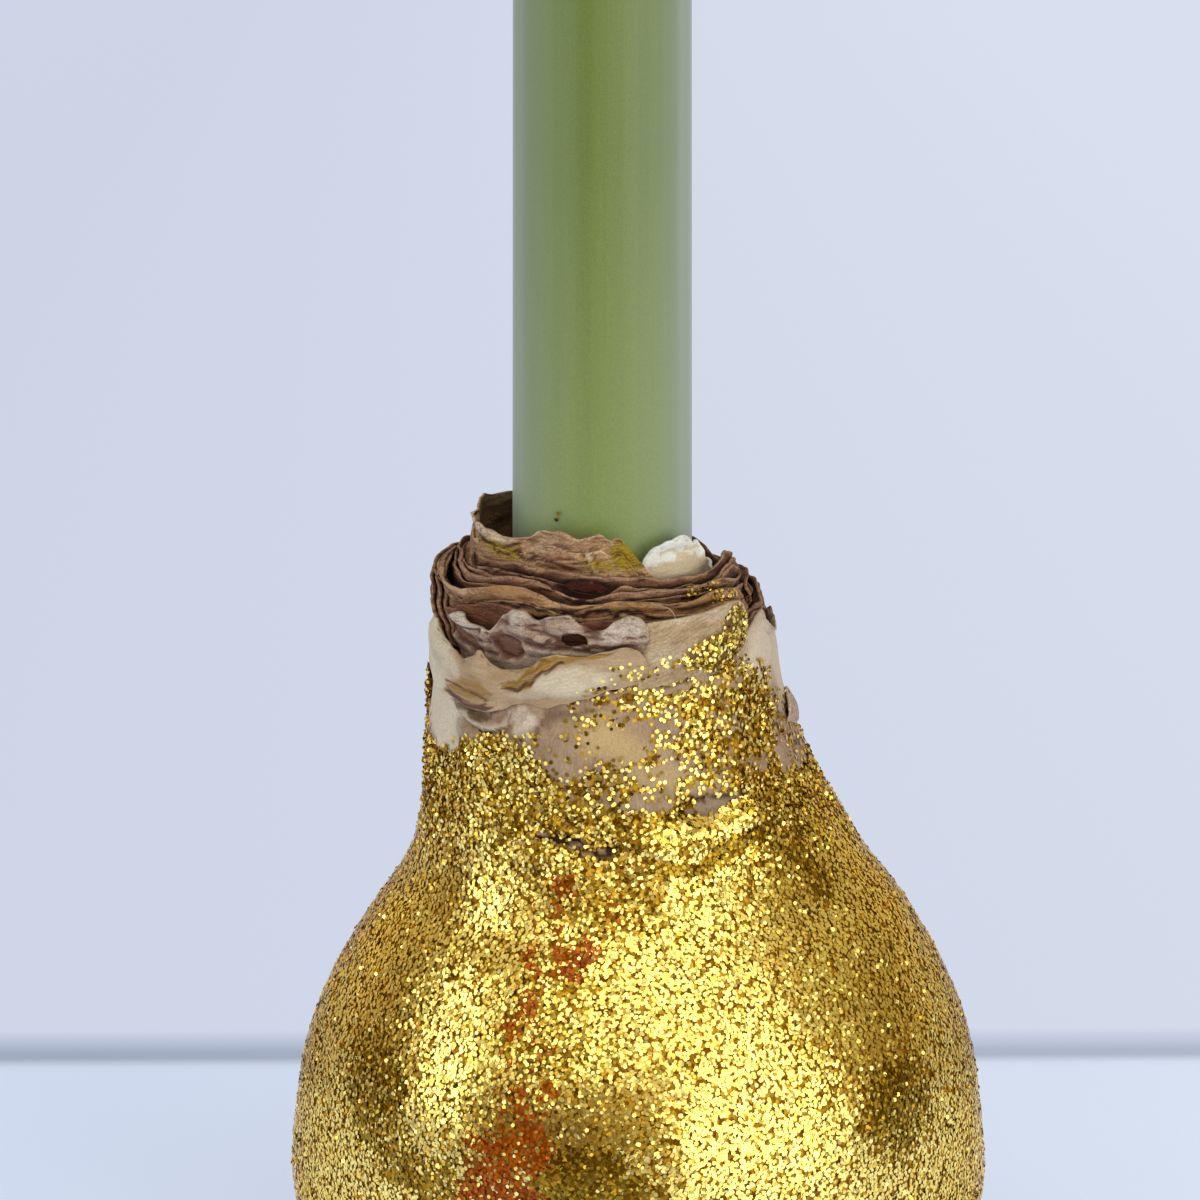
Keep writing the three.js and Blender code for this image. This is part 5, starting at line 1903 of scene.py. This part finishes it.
            0.5)),
    ),
    Wrap(
        "left_skin_flake", "left_flake", "dark_paper", PaperKind.DARK, -113, -95, 0,
        rim=((-113, 102.2), (-111, 103.2), (-109, 105.8), (-107, 106.8), (-105, 105), (-102, 106),
            (-100, 103.4), (-98, 104), (-95, 101.4)),
        model_thickness=0.6, middle_gap=0.5, flare=((98, 0.2), (102, 0.1), (107, 0.2)), seed=15, tear=1.1,
        thickness=0.4, rows=12, pitch=0.5, crumple=0.3,
        lower=((-113, 99.6), (-110, 97.6), (-108, 95), (-106, 96.6), (-103, 93.8), (-101, 94.4), (-99, 97),
            (-97, 96.2), (-95, 99.4)),
    ),
    Wrap(
        "right_skin_flake", "right_flake", "pale_skin", PaperKind.MAUVE, 80, 102, 0,
        rim=((80, 97.6), (88, 99.6), (102, 98)), model_thickness=0.6, middle_gap=0.3,
        flare=((94, 0.5), (97, 0.4), (100, 0.05)), seed=16, tear=0.4, thickness=0.35, rows=8,
        lower=((78, 96), (90, 94.8), (102, 95.8)), crumple=0.3,
    ),
)


@dataclass
class Thread:
    """A thin dry fibre that curls off a scale.

    Attributes:
        name: Name of the piece.
        path: (share of its length, azimuth) pairs.
        rise: (share of its length, height) pairs.
        reach: (share of its length, radius) pairs.
        width: Its width.
    """

    name: str
    path: Keys
    rise: Keys
    reach: Keys
    width: float = 0.16
    piece: Thing | None = field(default=None, init=False)

    def build(self) -> None:
        """Bend a narrow strip along the path and thicken it."""
        self.piece = grid(self.name, 18, 1)
        flat = places_of(self.piece)
        share = flat[:, 0] + 0.5
        turn = np.radians(along(self.path, share))
        radius = along(self.reach, share)
        slim = self.width * (1 - 0.6 * share)
        height = along(self.rise, share) + flat[:, 1] * slim
        aside = flat[:, 1] * slim
        put_places(self.piece, np.column_stack(
            [NECK_OFFSET + radius * np.sin(turn) + aside, -radius * np.cos(turn), height]))
        apply_modifier(self.piece, "SOLIDIFY", thickness=0.6 * self.width, offset=0)
        apply_modifier(self.piece, "SUBSURF", levels=1, render_levels=1)
        for name in ("shade", "stain"):
            write_attribute(self.piece, name, np.zeros(len(self.piece.data.vertices)))
        write_attribute(self.piece, "pale_and_highlight", np.full(len(self.piece.data.vertices), 0.7))
        layer = self.piece.data.uv_layers.active
        flat_map = np.empty(len(self.piece.data.loops) * 2, np.float32)
        layer.data.foreach_get("uv", flat_map)
        layer.data.foreach_set("uv", flat_map * 3 * MM)
        layer.name = "UVMap"

    def dress(self, materials: dict[PaperKind, Material]) -> None:
        """Give the thread its finish and hang it on the model."""
        self.piece.data.materials.append(materials[PaperKind.CREAM])
        finish_piece(self.piece, [], 60)


@dataclass
class Neck:
    """The nest of scales round the stem."""

    scales: dict[str, Scale] = field(default_factory=dict)
    thread: Thread = field(default_factory=lambda: Thread(
        "curly_thread", ((0, 16), (0.35, 22), (0.6, 24), (1, 25.5)),
        ((0, 115.6), (0.35, 115.0), (0.7, 113.7), (1, 113.4)), ((0, 19.6), (0.5, 20.6), (1, 21.6))))

    def build(self) -> None:
        """Build every scale and the thread."""
        for scale in SCALES:
            scale.build()
            self.scales[scale.name] = scale
        self.thread.build()

    def dress(self) -> None:
        """Make the papers and give each scale its own."""
        fibres = fibre_group()
        materials = {kind: kind.value.material(fibres) for kind in PaperKind}
        for scale in self.scales.values():
            scale.dress(materials)
        self.thread.dress(materials)


@dataclass(frozen=True)
class Lamp:
    """A soft rectangular lamp that faces the bulb.

    Attributes:
        name: Name of the lamp.
        azimuth: Azimuth that it shines from.
        height: Angle that it shines down from, in degrees.
        size: Its width and height in metres.
        power: Its power in watts.
        tint: Its colour.
        distance: Distance from the bulb in metres.
    """

    name: str
    azimuth: float
    height: float
    size: tuple[float, float]
    power: float
    tint: Colour = (1, 1, 1)
    distance: float = 0.7

    def hang(self, aim: Vector) -> None:
        """Hang the lamp so that it faces a place.

        Args:
            aim: The place that it faces.
        """
        turn, rise = math.radians(self.azimuth), math.radians(self.height)
        way = Vector((math.sin(turn) * math.cos(rise), -math.cos(turn) * math.cos(rise), math.sin(rise)))
        light = bpy.data.lights.new(self.name, "AREA")
        light.shape = "RECTANGLE"
        light.size, light.size_y = self.size
        light.energy = self.power
        light.color = self.tint
        lamp = bpy.data.objects.new(self.name, light)
        lamp.location = aim + way * self.distance
        lamp.rotation_euler = way.to_track_quat("Z", "Y").to_euler()
        bpy.context.scene.collection.objects.link(lamp)


LAMPS = (
    Lamp("key_window", 42, 10, (0.68, 0.38), 1.8, (1.0, 0.99, 0.97)),
    Lamp("high_window", 4, 44, (1.5, 0.32), 2.3),
    Lamp("left_window", -76, 16, (0.32, 0.30), 0.75, (0.98, 0.99, 1.0)),
)


@dataclass
class Studio:
    """The pale table, the soft light and the camera, in metres.

    Attributes:
        target: Place that the camera looks at.
        distance: Distance from there to the camera.
        elevation: Angle that the camera looks down from, in degrees.
        lens: Focal length of the camera in millimetres.
        lit_place: Place that the lamps face.
        table_edge: Where the table ends behind the bulb.
        table_skew: How far its far edge runs off square.
        table_glow: Light that the table gives by itself.
        mirrored_glow: The same as the gold flakes mirror it.
    """

    target: tuple[float, float, float] = (-0.0052, 0.0, 0.111)
    distance: float = 0.52
    elevation: float = 15.0
    lens: float = 122.07
    lit_place: tuple[float, float, float] = (0.0, 0.0, 0.062)
    table_edge: float = 0.125
    table_skew: float = 0.012
    table_glow: float = 0.42
    mirrored_glow: float = 0.85

    def floor(self) -> None:
        """Lay the pale table, with the wall's tone beyond its far edge."""
        select_none()
        bpy.ops.mesh.primitive_plane_add(size=30, location=(0, 0, 0))
        table = bpy.context.active_object
        table.name = "pale_table"
        made, graph, shader = new_material("pale_table_top")
        place = graph.add("TexCoord").outputs["Object"]
        spot = graph.add("SeparateXYZ", {0: place})
        sideways = graph.stretch(spot.outputs["X"], -0.09, 0.09)
        near = graph.mix(srgb(206, 216, 237), srgb(212, 221, 238), sideways)
        across = graph.stretch(spot.outputs["X"], -0.2, 0.2)
        wall = graph.mix(srgb(202, 209, 228), srgb(212, 220, 236), across)
        askew = graph.math("MULTIPLY", spot.outputs["X"], self.table_skew)
        past = graph.math("SUBTRACT", spot.outputs["Y"], askew)
        line = graph.math("MULTIPLY", graph.stretch(past, self.table_edge - 0.006, self.table_edge),
                          graph.stretch(past, self.table_edge + 0.012, self.table_edge + 0.002))
        beyond = graph.stretch(past, self.table_edge - 0.004, self.table_edge + 0.004)
        seam = graph.mix(srgb(158, 170, 194), srgb(176, 187, 208), sideways)
        colour = graph.mix(graph.mix(near, wall, beyond), seam, line)
        away = graph.add("VectorMath", {0: place}, operation="LENGTH")
        even = graph.math("MAXIMUM", beyond, graph.stretch(away.outputs["Value"], 0.25, 1.1))
        mirrored = graph.add("LightPath").outputs["Is Glossy Ray"]
        colour = graph.mix(colour, (1.0, 0.88, 0.94), mirrored, "MULTIPLY")
        glow = graph.stretch(mirrored, 0, 1, self.table_glow, self.mirrored_glow)
        graph.dress(shader, {
            "Base Color": graph.mix(near, (0.0, 0.0, 0.0), even), "Emission Color": colour,
            "Emission Strength": graph.math("MAXIMUM", glow, even), "Roughness": 0.8,
            "Specular IOR Level": 0.1})
        table.data.materials.append(made)

    def world(self) -> None:
        """Set the room's light: pale behind the object, dim in front of it."""
        world = bpy.data.worlds.new("studio_room")
        bpy.context.scene.world = world
        world.use_nodes = True
        graph = Graph(world.node_tree)
        shader = world.node_tree.nodes["Background"]
        ways = graph.add("SeparateXYZ", {0: graph.add("TexCoord").outputs["Generated"]})
        behind = graph.stretch(ways.outputs["Y"], 0.1, 0.75)
        above = graph.stretch(ways.outputs["Z"], 0.2, 0.65)
        leftwards = graph.stretch(ways.outputs["X"], 0.1, -0.3)
        front = graph.mix((0.26, 0.17, 0.025), (0.12, 0.056, 0.008), leftwards)
        back = graph.mix((0.78, 0.63, 0.44), (0.94, 0.76, 0.54), leftwards)
        room = graph.mix(front, back, behind)
        room = graph.mix(room, (0.76, 0.65, 0.45), above)
        sort = graph.add("LightPath")
        colour = graph.mix((0.40, 0.405, 0.41), room, sort.outputs["Is Glossy Ray"])
        colour = graph.mix(colour, srgb(206, 213, 231), sort.outputs["Is Camera Ray"])
        graph.feed(shader.inputs["Color"], colour)

    def camera(self) -> None:
        """Place the camera level with the neck and a little above it."""
        data = bpy.data.cameras.new("camera")
        data.lens = self.lens
        data.sensor_width = 36
        data.clip_start = 0.01
        camera = bpy.data.objects.new("camera", data)
        rise = math.radians(self.elevation)
        back = Vector((0, -math.cos(rise), math.sin(rise)))
        camera.location = Vector(self.target) + back * self.distance
        camera.rotation_euler = back.to_track_quat("Z", "Y").to_euler()
        bpy.context.scene.collection.objects.link(camera)
        bpy.context.scene.camera = camera

    def build(self) -> None:
        """Set up the whole studio."""
        self.camera()
        self.floor()
        self.world()
        for lamp in LAMPS:
            lamp.hang(Vector(self.lit_place))
        bpy.context.scene.view_settings.view_transform = "Standard"


def main() -> None:
    """Build the bulb, its neck, stem and glitter, and the studio round them."""
    studio = Studio()
    studio.build()
    bulb = Bulb()
    bulb.build()
    glitter = GlitterCoat()
    glitter.build(bulb.piece)
    neck = Neck()
    neck.build()
    pieces = {"bulb_body": bulb.piece} | {name: scale.piece for name, scale in neck.scales.items()}
    for spill in SPILLS:
        spill.build(pieces[spill.under], glitter.material)
    stem = Stem()
    stem.build()
    glitter.strew("flakes_on_stem", stem.foot_radius - 0.1, ((-28, 124.9), (-29.5, 124.1)), 97)
    bulb.dress()
    neck.dress()
    stem.dress()


if __name__ == "__main__":
    main()
